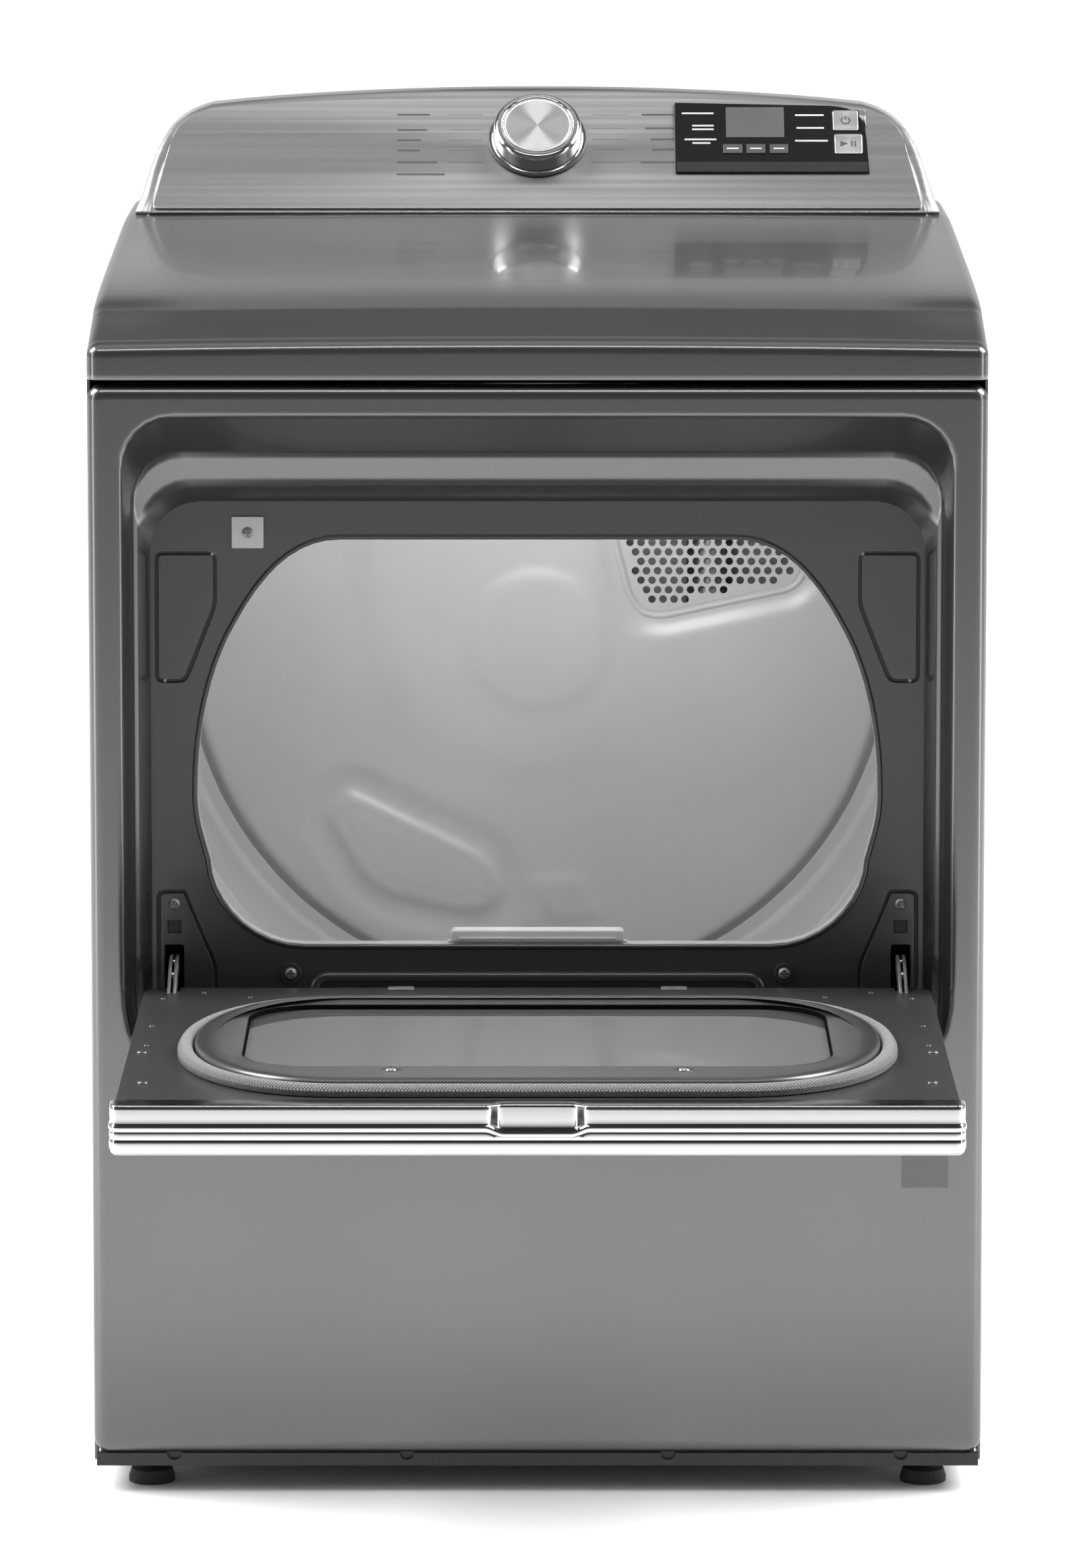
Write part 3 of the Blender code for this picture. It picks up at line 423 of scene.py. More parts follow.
def tint(look, value, dark, light, start=0.3, end=0.7):
    """The base colour runs from dark to light with the value."""
    tree = look.node_tree
    ramp = tree.nodes.new("ShaderNodeMix")
    ramp.data_type = "RGBA"
    ramp.inputs[6].default_value = (*dark, 1)
    ramp.inputs[7].default_value = (*light, 1)
    tree.links.new(spread(look, value, 0, 1, start, end), ramp.inputs["Factor"])
    tree.links.new(ramp.outputs[2], tree.nodes["Principled BSDF"].inputs["Base Color"])


def roughen(look, value, low, high, start=0.3, end=0.7):
    """The roughness runs from low to high with the value."""
    shader = look.node_tree.nodes["Principled BSDF"]
    look.node_tree.links.new(spread(look, value, low, high, start, end), shader.inputs["Roughness"])


def relief(look, value, distance, strength=1.0):
    """Fine bumps. A second call stacks on the first."""
    tree = look.node_tree
    shader = tree.nodes["Principled BSDF"]
    node = tree.nodes.new("ShaderNodeBump")
    node.inputs["Distance"].default_value = distance
    node.inputs["Strength"].default_value = strength
    tree.links.new(value, node.inputs["Height"])
    if shader.inputs["Normal"].is_linked:
        tree.links.new(shader.inputs["Normal"].links[0].from_socket, node.inputs["Normal"])
    tree.links.new(node.outputs["Normal"], shader.inputs["Normal"])


def grey(value, cool=1.01):
    """A neutral colour, slightly cool."""
    return (value, value, value * cool)


def painted(name, level, metallic, roughness, coat):
    """Metallic enamel: fine flakes under a clear coat whose gloss varies a little."""
    look = new_look(name, grey(level), metallic, roughness, Coat_Weight=coat, Coat_Roughness=0.06)
    flakes = pattern(look, "Voronoi", 1500)
    tint(look, flakes, grey(level * 0.97), grey(level * 1.03), 0.2, 0.8)
    clouds = pattern(look, "Noise", 5, detail=1)
    roughen(look, clouds, roughness - 0.015, roughness + 0.02)
    return look


def brushed(name, level, roughness, stretch, anisotropic=0.6):
    """Metal brushed along the axis that stretch leaves long."""
    look = new_look(name, grey(level), 1.0, roughness, Anisotropic=anisotropic)
    lines = pattern(look, "Noise", 60, stretch, detail=5)
    tint(look, lines, grey(level * 0.95), grey(level * 1.05), 0.35, 0.65)
    roughen(look, lines, roughness - 0.02, roughness + 0.03, 0.35, 0.65)
    relief(look, pattern(look, "Noise", 90, stretch, detail=3), 0.00001, 0.3)
    return look


def moulded(name, level, roughness, grain=1200, specular=0.5):
    """Moulded plastic or rubber with a fine even grain."""
    look = new_look(name, grey(level), 0.0, roughness, Specular_IOR_Level=specular)
    cells = pattern(look, "Noise", grain, detail=2)
    roughen(look, cells, roughness - 0.05, roughness + 0.06)
    tint(look, pattern(look, "Noise", 14), grey(level * 0.92), grey(level * 1.08))
    relief(look, cells, 0.00004, 0.5)
    return look


def make_chrome():
    """Polished plating with the slight unevenness of handling."""
    look = new_look("polished_chrome", grey(0.58), 1.0, 0.1)
    roughen(look, pattern(look, "Noise", 22, detail=5), 0.07, 0.15)
    relief(look, pattern(look, "Noise", 160, detail=1), 0.00001, 0.2)
    return look


def make_handle_metal():
    """Bright satin plating with faint lengthwise polishing lines."""
    look = new_look("handle_plating", grey(0.52), 1.0, 0.16)
    lines = pattern(look, "Noise", 40, (0.15, 6, 6), detail=4)
    roughen(look, lines, 0.13, 0.19)
    tint(look, lines, grey(0.5), grey(0.54))
    return look


def make_galvanised():
    """Zinc-coated sheet with its spangle."""
    look = new_look("galvanised_steel", grey(0.26), 0.9, 0.42)
    spangle = pattern(look, "Voronoi", 70)
    tint(look, spangle, grey(0.2), grey(0.31), 0.0, 0.9)
    roughen(look, spangle, 0.34, 0.52, 0.0, 0.9)
    relief(look, pattern(look, "Noise", 300), 0.00003, 0.4)
    return look


def make_drum_enamel():
    """Light grey powder coat with its fine dimpled skin."""
    look = new_look("drum_enamel", grey(0.5), 0.0, 0.36, Coat_Weight=0.25, Coat_Roughness=0.22)
    tint(look, pattern(look, "Noise", 6, detail=3), grey(0.49), grey(0.53))
    skin_pattern = pattern(look, "Noise", 700, detail=2)
    roughen(look, skin_pattern, 0.32, 0.42)
    relief(look, skin_pattern, 0.00004, 0.35)
    return look


def make_felt():
    """Woven felt: two sets of ribs across each other with loose fibre between."""
    look = new_look("woven_felt", grey(0.3), 0.0, 0.92, Sheen_Weight=0.15, Sheen_Roughness=0.5)
    fibre = pattern(look, "Noise", 1500, detail=4)
    tint(look, fibre, grey(0.12), grey(0.26))
    ribs = pattern(look, "Wave", 170, (1, 1, 1), "UV", (0, 0, math.radians(45)))
    cross = pattern(look, "Wave", 170, (1, 1, 1), "UV", (0, 0, math.radians(-45)))
    relief(look, ribs, 0.0006, 0.9)
    relief(look, cross, 0.0006, 0.9)
    relief(look, fibre, 0.0002, 0.5)
    return look


def make_spun_metal():
    """A turned disc whose fine rings throw light out in two fans."""
    look = new_look("spun_metal", grey(0.74), 1.0, 0.26, Anisotropic=0.9)
    tree = look.node_tree
    tangent = tree.nodes.new("ShaderNodeTangent")
    tangent.direction_type = "RADIAL"
    tangent.axis = "Z"
    tree.links.new(tangent.outputs["Tangent"], tree.nodes["Principled BSDF"].inputs["Tangent"])
    rings = pattern(look, "Wave", 900)
    wave = rings.node
    wave.wave_type = "RINGS"
    wave.rings_direction = "Z"
    roughen(look, rings, 0.22, 0.32, 0.0, 1.0)
    relief(look, rings, 0.00002, 0.3)
    return look


def make_glass():
    """The door's smoked pane with faint smears."""
    look = new_look("tinted_glass", grey(0.10), 0.0, 0.03, Transmission_Weight=0.35, IOR=1.5)
    roughen(look, pattern(look, "Noise", 12, detail=4), 0.03, 0.07)
    return look


def make_board():
    """Green circuit board with its blotches of solder mask."""
    look = new_look("circuit_board", (0.02, 0.12, 0.05), 0.0, 0.45)
    tint(look, pattern(look, "Voronoi", 300), (0.01, 0.08, 0.03), (0.04, 0.2, 0.09), 0.1, 0.8)
    return look


def make_lint_mesh():
    """A fine white net: upright threads in the colour, level ones in the bumps."""
    look = new_look("lint_mesh", grey(0.5), 0.0, 0.6)
    tint(look, pattern(look, "Wave", 500, turn=(0, math.radians(90), 0)), grey(0.16), grey(0.6))
    relief(look, pattern(look, "Wave", 500), 0.0002)
    return look


LOOKS = {
    "slate": painted("slate_enamel", 0.145, 0.88, 0.25, 0.3),
    "liner": painted("dark_enamel", 0.085, 0.7, 0.34, 0.15),
    "decal": painted("decal_film", 0.15, 0.6, 0.45, 0.0),
    "chrome": make_chrome(),
    "handle": make_handle_metal(),
    "silver": brushed("brushed_silver", 0.42, 0.34, (0.02, 3, 3)),
    "button": brushed("button_silver", 0.62, 0.34, (0.05, 4, 4), 0.3),
    "spun": make_spun_metal(),
    "drum": make_drum_enamel(),
    "zinc": make_galvanised(),
    # Near-black painted shade, laid on the window's inner wall where the rim keeps the light off it.
    "shadow": moulded("painted_shade_black", 0.004, 0.8, 300, 0.05),
    "gloss": moulded("black_gloss", 0.006, 0.12, 300, 0.25),
    "strip": moulded("smoked_strip", 0.022, 0.24, 300, 0.3),
    "dark": moulded("dark_plastic", 0.03, 0.46),
    "key": moulded("key_plastic", 0.055, 0.38),
    "white": moulded("white_plastic", 0.72, 0.38),
    "ink": moulded("printed_ink", 0.055, 0.55),
    "pale_ink": moulded("pale_ink", 0.42, 0.55),
    "felt": make_felt(),
    "rubber": moulded("rubber", 0.022, 0.7, 500),
    "board": make_board(),
    "net": make_lint_mesh(),
    "lens": moulded("lamp_lens", 0.66, 0.24, 500),
    "screen": moulded("display_screen", 0.085, 0.2, 900),
    "glass": make_glass(),
}

# Each of the record's slots with its looks. A CAD node that stays in view takes the first one.
SLOT_LOOKS = {
    "slate_paint": ("slate", "decal"),
    "bulkhead_grey": ("liner", "shadow"),
    "chrome": ("chrome",),
    "brushed_silver": ("silver", "handle", "spun", "button"),
    "drum_grey": ("drum",),
    "galvanised": ("zinc",),
    "black_gloss": ("gloss",),
    "dark_plastic": ("dark", "ink", "key", "pale_ink"),
    "white_plastic": ("white", "net"),
    "felt": ("felt",),
    "rubber": ("rubber",),
    "board_green": ("board",),
    "lamp_lens": ("lens",),
    "dark_glass": ("glass", "screen"),
}


def dress_frame():
    """Every CAD node that stays in view gets the procedural look of its own slot."""
    for entry in frame["record"]["subparts"]:
        mesh = frame["nodes"][entry["node"]].data
        mesh.materials.clear()
        mesh.materials.append(LOOKS[SLOT_LOOKS[entry["material_slot"]][0]])


# ---------------------------------------------------------------- cabinet


def edge_roll(radius, steps=6):
    """(inset, depth) pairs round a rolled edge, from the side face to the front face."""
    turns = [math.radians(90 * i / steps) for i in range(steps + 1)]
    return [(radius * (1 - math.cos(t)), radius * (1 - math.sin(t))) for t in turns]


def frame_ring(y, inset, corner=0.012, steps=6):
    """The front panel's outer edge, which starts at the bottom right and runs anticlockwise."""
    half, low, high = HALF - inset, FRONT_LOW + inset, FRONT_HIGH - inset
    radius = max(corner - inset, 0.0008)
    right = arc((half - radius, low + radius), radius, -90, 0, steps)
    right += arc((half - radius, high - radius), radius, 0, 90, steps)
    return [(x, y, z) for x, z in right + mirrored(right)]


def recess_ring(y, half, top, low, across, up, by=0.0, steps=6):
    """The recess at one depth: an arc at each upper corner, a long curve at each lower one."""
    radius = 0.039
    end = (half, low + up)
    right = curve_through(
        (half - across, low), (half - 0.18 * across, low), (half, low + 0.49 * up), end, steps
    )
    right += [end, *arc((half - radius, top - radius), radius, 0, 90, steps)]
    return [(x, y, z) for x, z in grown(right + mirrored(right), by)]


def make_front_panel():
    """The pressed front: rolled edges, a flat face and the stepped funnel back to the bulkhead."""
    rings = [frame_ring(0.0145, 0.0)]
    rings += [frame_ring(depth, inset) for inset, depth in edge_roll(0.01)]
    rings.append(frame_ring(0.0, 0.0115))
    lip = 0.0045
    mouth = (0.316, 0.835, 0.322, 0.054, 0.078)
    rings += [recess_ring(0.0, *mouth, by=lip + 0.0015)]
    for inset, depth in reversed(edge_roll(lip, 5)):
        rings.append(recess_ring(depth, *mouth, by=inset))
    funnel = [
        (lip, *mouth),
        (0.04, 0.3105, 0.804, 0.324, 0.034, 0.062),
        (0.044, 0.306, 0.781, 0.325, 0.034, 0.062),
        (BULKHEAD_Y - 0.0003, 0.298, 0.765, 0.326, 0.034, 0.062),
    ]
    path = rounded(funnel, 0.006, 5, closed=False)
    rings += [recess_ring(*stop) for stop in path[1:]]
    mesh = skin(rings)
    for side, _ in SIDES:
        near, far = sorted((side * ARM_SLOT_X[0], side * ARM_SLOT_X[1]))
        open_box(mesh, (near, 0.01, ARM_SLOT_Z[0]), (far, 0.07, ARM_SLOT_Z[1]))
    obj = piece("front_panel_shell", mesh, "slate", ["front_panel"])
    before_normals(obj, "SOLIDIFY", thickness=0.0012, offset=-1)


def top_line(inset):
    """The lid from the side: (y, z) from its lower front edge over the rolled front to its back."""
    radius = max(0.0115 - inset, 0.0006)
    front = inset
    roll_end = (front + radius * 1.6, LID_FRONT_Z - inset + 0.0008)
    points = [(front, TOP_LOW), (front, TOP_LOW + 0.004), (front, LID_FRONT_Z - inset - radius)]
    points += curve_through(
        (front, LID_FRONT_Z - inset - radius), (front, LID_FRONT_Z - inset - 0.3 * radius),
        (front + 0.4 * radius, LID_FRONT_Z - inset - 0.0006), roll_end, 9,
    )[1:]
    points.append(roll_end)
    ridge = [(0.032, 0.901), (0.05, 0.9066), (0.062, 0.9101), (0.0675, 0.9116), (0.07, 0.9122)]
    ridge += [(0.0725, 0.9127), (0.078, 0.9136), (0.09, 0.9156)]
    slope = [(0.105, 0.918), (0.122, 0.9203), (0.145, 0.9226), (0.18, 0.9252), (0.23, 0.9279)]
    slope += [(0.3, 0.931), (0.38, 0.9343), (0.46, 0.9378), (0.54, 0.9412), (0.57, 0.942)]
    points += [(y, z - inset) for y, z in ridge + slope]
    return points + [(0.699 - inset, 0.942 - inset), (0.699 - inset, TOP_LOW)]


def top_section(x, inset):
    """The lid's line at one X. Its front is crowned, and the crease bends back and fades at its ends."""
    across = min(abs(x) / LID_HALF, 1.0)
    points = []
    for y, z in top_line(inset):
        crown = 0.003 * (1 - 0.6 * smooth_step(y, 0.0, 0.5)) * across**2
        fold = smooth_step(y, 0.03, 0.066) * (1 - smooth_step(y, 0.078, 0.105))
        ease = smooth_step(across, 0.8, 0.93)
        y += 0.012 * ease * fold
        crease = smooth_step(y, 0.0675, 0.0705) * (1 - smooth_step(y, 0.0705, 0.115))
        z += 0.0003 * crease * (1 - smooth_step(across, 0.82, 0.92))
        points.append((x, y, z - (crown if z > TOP_LOW + 0.01 else 0.0)))
    return points


def make_top_panel():
    """The lid: one pressed sheet with its ends rolled over, open underneath."""
    stations = [LID_HALF * i / 22 for i in range(23)]
    ends = []
    for degrees in range(15, 91, 15):
        turn = math.radians(degrees)
        ends.append((LID_HALF + 0.01 * math.sin(turn), 0.01 * (1 - math.cos(turn))))
    right = [(x, 0.0) for x in stations] + ends
    sections = [(-x, inset) for x, inset in reversed(right[1:])] + right
    rings = [top_section(x, inset) for x, inset in sections]
    for end in (0, -1):
        foot = [(x, y, TOP_LOW) for x, y, _ in rings[end]]
        rings.insert(0 if end == 0 else len(rings), foot)
    mesh = welded(skin(rings, closed=False), 0.00001)
    obj = piece("top_panel_shell", mesh, "slate", ["top_panel"], angle=50)
    before_normals(obj, "SOLIDIFY", thickness=0.001, offset=-1)


def console_edge(steps=10):
    """The console's outline from the front, open at the bottom, from the right foot to the left."""
    right = [(0.3335, CONSOLE_LOW), (0.3275, 0.957), (0.322, 0.975)]
    right += curve_through((0.322, 0.975), (0.315, 0.998), (0.306, 1.017), (0.272, 1.0255), steps)[1:]
    right += curve_through((0.272, 1.0255), (0.2, 1.0335), (0.1, 1.038), (0.0, 1.038), 8)
    right.append((0.0, 1.038))
    return right + [(-x, z) for x, z in reversed(right[:-1])]


def edge_inset(by, outline):
    """The open outline moved inwards, with its two feet kept at their height."""
    moved = []
    for i, here in enumerate(outline):
        before, after = outline[max(i - 1, 0)], outline[min(i + 1, len(outline) - 1)]
        along = (Vector(after) - Vector(before)).normalized()
        x, z = here[0] - by * along.y, here[1] + by * along.x
        moved.append((x, here[1] if i in (0, len(outline) - 1) else z))
    return moved


def on_face(outline, out=0.0):
    """Outline points laid on the console's sloping plane, or that far out of it, never below the foot."""
    points = []
    for x, z in outline:
        y = FACE_Y + (z - FACE_Z) - out * math.sqrt(0.5)
        points.append((x, max(y, FACE_Y), z + out * math.sqrt(0.5)))
    return points


def console_rings(edge):
    """The housing's rings: back roll, walls, and a rolled edge round the sloping face."""
    rings = []
    for t in range(0, 91, 15):
        turn = math.radians(t)
        inset, y = 0.016 * (1 - math.sin(turn)), CONSOLE_BACK - 0.016 * (1 - math.cos(turn))
        rings.append([(x, y, z) for x, z in edge_inset(inset, edge)])
    roll = 0.007
    wall = [(x, max(FACE_Y + z - FACE_Z, FACE_Y) + roll, z) for x, z in edge]
    rings.append([tuple(Vector(a).lerp(Vector(b), 0.5)) for a, b in zip(rings[-1], wall)])
    corner, face = on_face(edge), on_face(edge_inset(roll, edge))
    for k in range(7):
        t = k / 6
        ring = []
        for a, b, c in zip(wall, corner, face):
            point = Vector(a) * (1 - t) ** 2 + Vector(b) * (2 * t * (1 - t)) + Vector(c) * t * t
            ring.append(tuple(point))
        rings.append(ring)
    for by, out in ((0.0035, -0.0012), (0.005, -0.003)):
        rings.append(on_face(edge_inset(roll + by, edge), out))
    return rings


def make_console():
    """The brushed housing and the dark panel that closes its back."""
    edge = console_edge()
    mesh = skin(console_rings(edge), closed=False)
    piece("console_shell", mesh, "silver", ["console_housing"], angle=60, weighted=False)
    back = [(x, z) for x, z in edge_inset(0.0161, edge)]
    back[0], back[-1] = (back[0][0], CONSOLE_LOW), (back[-1][0], CONSOLE_LOW)
    mesh = plate([back], 0.6952, CONSOLE_BACK, plane="XZ")
    piece("console_back", mesh, "dark")


def fascia_outline(grow=0.0):
    """The face plate on the console plane: straight sides that lean in and round top corners."""
    right = [(0.3195 + grow, -0.003 - grow), (0.3065 + grow, 0.066)]
    corner_end = (0.258, 0.1085 + grow)
    right += curve_through(
        (0.3065 + grow, 0.066), (0.3025 + grow, 0.088), (0.292 + grow, 0.1045), corner_end, 10
    )[1:]
    right += curve_through(corner_end, (0.19, 0.1155 + grow), (0.095, 0.119 + grow), (0.0, 0.119 + grow), 8)
    return right + [(0.0, 0.119 + grow)] + [(-x, s) for x, s in reversed(right)]


WELL = ((0.15, 0.2735), (0.05, 0.1035))
LENS = ((0.1575, 0.2055), (0.0725, 0.1055))
BUTTONS = {
    "power_button": ("power_key", (0.2465, 0.2675), (0.0795, 0.1015)),
    "start_button": ("start_key", (0.2475, 0.2705), (0.054, 0.0755)),
}
OPTIONS = {
    "option_key_1": ("option_1", (0.1545, 0.1705), (0.0545, 0.0645)),
    "option_key_2": ("option_2", (0.174, 0.1895), (0.0545, 0.0645)),
    "option_key_3": ("option_3", (0.1935, 0.2085), (0.0545, 0.0645)),
}


def make_fascia():
    """The brushed plate with its holes, the silver groove round it and the bead at the console's foot."""
    holes = [circle((0, KNOB_S), 0.008, 24), rectangle(*WELL)]
    mesh = plate([rounded(fascia_outline(), 0.006, 4), *holes], -0.0022, 0.0, 0.0007)
    piece("console_plate", mesh, "silver", ["console_fascia"], place=CONSOLE)
    groove = plate([fascia_outline(0.0014), fascia_outline(-0.003)], -0.004, -0.0019)
    piece("console_groove", groove, "silver", place=CONSOLE)
    foot = swept([(-0.332, 0.556, 0.9428), (0.332, 0.556, 0.9428)], 0.0011, 12)
    piece("console_foot_bead", foot, "handle", angle=80)


def bar(name, x, s, n, look, slot="brushed_silver", corner=0.0004):
    """A thin bar on the console plane, between two values across, up and out of it."""
    outline = rectangle(x, s, corner, 3)
    return piece(name, plate([outline], *n), look, place=CONSOLE)


def make_cycle_marks():
    """Plain bars stand for the names of the cycles, six at the left of the knob and five at the right."""
    left = [(0.027, 0.113), (0.025, 0.095), (0.0195, 0.083), (0.019, 0.071), (0.0335, 0.057), (0.04, 0.043)]
    right = [(0.027, 0.113), (0.024, 0.097), (0.02, 0.084), (0.019, 0.072), (0.028, 0.057)]
    for side, word, outer, marks in ((-1, "left", 0.117, left), (1, "right", 0.114, right)):
        line = sorted((side * 0.046, side * 0.074))
        for i, (length, level) in enumerate(marks, 1):
            s = KNOB_S - 0.0375 + (level - 0.043) * 0.93
            inner = outer - length
            x = sorted((side * outer, side * inner))
            bar(f"cycle_mark_{word}_{i}", x, (s - 0.0009, s + 0.0009), (0.0, 0.00012), "ink")
            if inner > 0.078:
                name = f"cycle_line_{word}_{i}"
                bar(name, line, (s - 0.00012, s + 0.00012), (0.0, 0.0001), "ink", corner=0.0001)


def make_knob():
    """The chrome skirt on its dark base, and the spun disc that presses in."""
    place = CONSOLE @ Matrix.Translation((0, KNOB_S, 0))
    rise = [(0.0293, 0.013), (0.0293, 0.019), (0.0305, 0.0197), (0.0335, 0.0195)]
    fall = [(0.0362, 0.0172), (0.0374, 0.0034), (0.0385, 0.003)]
    outer = rounded(rise + fall, 0.0012, 4, closed=False)
    profile = [
        (0.0, 0.0126), (0.029, 0.0126), *outer, (0.0385, 0.0012), (0.0065, 0.0012), (0.0065, -0.008),
        (0, -0.008)
    ]
    piece("knob_skirt", turned(profile), "chrome", ["knob"], body="cycle_knob", place=place)
    flange = rounded(
        [(0.0384, 0.0026), (0.0402, 0.0026), (0.041, 0.0018), (0.041, 0.0005)], 0.0006, 3, closed=False
    )
    profile = [(0.03, 0.0013), (0.0384, 0.0013), *flange, (0.03, 0.0005), (0.03, 0.0013)]
    piece("knob_base", turned(profile), "dark", body="cycle_knob", place=place)
    rim = rounded(
        [(0.0264, 0.0191), (0.0272, 0.0196), (0.0284, 0.0196), (0.0289, 0.0189), (0.0289, 0.015)], 0.0005, 3,
        closed=False
    )
    profile = [(0.0, 0.0191), (0.009, 0.0191), (0.018, 0.0191), *rim, (0.0, 0.015)]
    piece("knob_disc", turned(profile), "spun", ["knob_button"], body="knob_push", place=place, baked=False)
    for i in range(12):
        turn = Matrix.Rotation(math.radians(30 * i), 4, "Z")
        mesh = plate([rectangle((0.031, 0.0329), (-0.00025, 0.00025))], 0.01965, 0.0198)
        piece(f"knob_tick_{i + 1}", mesh, "ink", body="cycle_knob", place=place @ turn)


def power_symbol(centre, radius):
    """A broken ring and a bar, as thin outlines."""
    width = 0.16 * radius
    ring = arc(centre, radius, 125, 415, 20) + arc(centre, radius - 2 * width, 415, 125, 20)
    x, s = centre
    return [ring, rectangle((x - width, x + width), (s + 0.25 * radius, s + 1.15 * radius))]


def play_symbol(centre, size):
    """A triangle and two bars, as thin outlines."""
    x, s = centre
    triangle = [(x - 1.35 * size, s - 0.6 * size), (x - 0.1 * size, s), (x - 1.35 * size, s + 0.6 * size)]
    bars = [
        rectangle((x + k * size, x + (k + 0.26) * size), (s - 0.55 * size, s + 0.55 * size))
        for k in (0.35, 0.9)
    ]
    return [triangle, *bars]


def make_display():
    """The black panel with its screen, cut out round the buttons and the keys."""
    outline = [(0.1145, 0.034), (0.276, 0.034)]
    outline += curve_through((0.2745, 0.07), (0.2725, 0.099), (0.266, 0.105), (0.244, 0.1072), 8)
    outline += [(0.244, 0.1072), (0.1145, 0.1105)]
    holes = [rectangle(*LENS, 0.0006)]
    for _, x, s in [*BUTTONS.values(), *OPTIONS.values()]:
        holes.append(rectangle((x[0] - 0.0004, x[1] + 0.0004), (s[0] - 0.0004, s[1] + 0.0004), 0.001))
    mesh = plate([rounded(outline, 0.0012, 3), *holes], 0.0003, 0.0018, 0.0004)
    piece("display_panel", mesh, "gloss", ["display_overlay"], place=CONSOLE)
    bar(
        "display_strip", (0.1158, 0.2745), (0.035, 0.0455), (0.0017, 0.00195), "strip", slot="black_gloss",
        corner=0.0008
    )
    lens = plate([rectangle(LENS[0], LENS[1], 0.0008)], 0.0003, 0.0018, 0.0003)
    piece("display_glass", lens, "screen", ["display_lens"], place=CONSOLE)


def make_buttons():
    """The two silver buttons with their standard symbols."""
    symbols = {
        "power_button": power_symbol((0.257, 0.09), 0.0042),
        "start_button": play_symbol((0.2592, 0.0648), 0.0052)
    }
    for name, (body, x, s) in BUTTONS.items():
        cap = plate([rectangle(x, s, 0.0022, 5)], -0.0045, 0.0026, 0.0006)
        piece(f"{name}_cap", cap, "button", [name], body=body, place=CONSOLE)
        for i, outline in enumerate(symbols[name], 1):
            mark = plate([outline], 0.00255, 0.00275)
            piece(f"{name}_symbol_{i}", mark, "ink", body=body, place=CONSOLE)


def make_option_keys():
    """The three dark keys, each with one pale bar."""
    for name, (body, x, s) in OPTIONS.items():
        cap = plate([rectangle(x, s, 0.0009, 4)], -0.0045, 0.0026, 0.0005)
        piece(f"{name}_cap", cap, "key", [name], body=body, place=CONSOLE)
        middle = (s[0] + s[1]) / 2
        mark = plate(
            [rectangle((x[0] + 0.003, x[1] - 0.003), (middle - 0.0008, middle + 0.0008))], 0.00255, 0.0027
        )
        piece(f"{name}_mark", mark, "pale_ink", body=body, place=CONSOLE)


def make_label_bars():
    """Plain bars stand for the words at both sides of the screen."""
    left = [
        (0.1205, 0.147, 0.0985), (0.129, 0.147, 0.085), (0.129, 0.147, 0.081), (0.1225, 0.149, 0.07),
        (0.129, 0.144, 0.066)
    ]
    right = [(0.215, 0.239, 0.0965), (0.216, 0.239, 0.0825), (0.2145, 0.242, 0.0685)]
    for i, (start, end, s) in enumerate(left + right, 1):
        bar(
            f"label_bar_{i}", (start, end), (s - 0.0009, s + 0.0009), (0.0017, 0.0019), "pale_ink",
            slot="black_gloss"
        )


# ---------------------------------------------------------------- screws and bulkhead


def screw_mesh(radius, height, steps=32):
    """A domed head with a cross recess, seen along Z, standing on Z = 0."""
    profile = [(1.0, 0.0), (1.0, 0.18), (0.94, 0.38), (0.8, 0.62), (0.62, 0.82), (0.5, 0.9), (0.42, 0.93)]
    profile += [(0.34, 0.95), (0.22, 0.97), (0.12, 0.98)]
    shape = bmesh.new()
    rings = []
    for r, h in profile:
        ring = []
        for i in range(steps):
            turn = 2 * math.pi * i / steps
            near = min(abs(math.sin(turn)), abs(math.cos(turn))) * r
            recess = 0.55 if (r <= 0.5 and near < 0.11) else 0.0
            x, y = radius * r * math.cos(turn), radius * r * math.sin(turn)
            ring.append(shape.verts.new((x, y, height * (h - recess))))
        rings.append(ring)
    for first, second in zip(rings, rings[1:]):
        for i in range(steps):
            k = (i + 1) % steps
            shape.faces.new((first[i], first[k], second[k], second[i]))
    shape.faces.new(rings[-1])
    shape.faces.new(rings[0])
    return finished(shape)


def screw(name, place, radius=0.0045, height=0.0022, look="zinc", body="cabinet"):
    """A screw head as a piece of its own."""
    return piece(name, screw_mesh(radius, height), look, body=body, place=place, angle=30)


def facing_front(x, y, z):
    """The place of a turned shape that stands towards the front at this point."""
    return CABINET @ Matrix.Translation((x, y, z)) @ Matrix.Rotation(math.radians(90), 4, "X")


def facing_back(x, y, z):
    """The same, towards the rear."""
    return CABINET @ Matrix.Translation((x, y, z)) @ Matrix.Rotation(math.radians(-90), 4, "X")


def facing_up(x, y, z):
    """The same, upwards."""
    return CABINET @ Matrix.Translation((x, y, z))


def opening_outline(grow=0.0, steps=9):
    """The door opening: flat top and bottom, full sides, tighter lower corners."""
    low, high, side = 0.4195, 0.735, 0.2624
    knee, hip, shoulder = (side - 0.01, low + 0.066), (side, 0.54), (side - 0.03, high - 0.065)
    right = curve_through((0.18, low), (0.222, low), (0.252, low + 0.036), knee, steps)
    right += curve_through(knee, (side - 0.003, low + 0.092), (side, hip[1] - 0.022), hip, steps)
    right += curve_through(hip, (side, 0.598), (side - 0.014, 0.643), shoulder, steps)
    right += curve_through(shoulder, (side - 0.053, high - 0.022), (0.184, high), (0.152, high), steps)
    right.append((0.152, high))
    return grown(right + mirrored(right), grow)


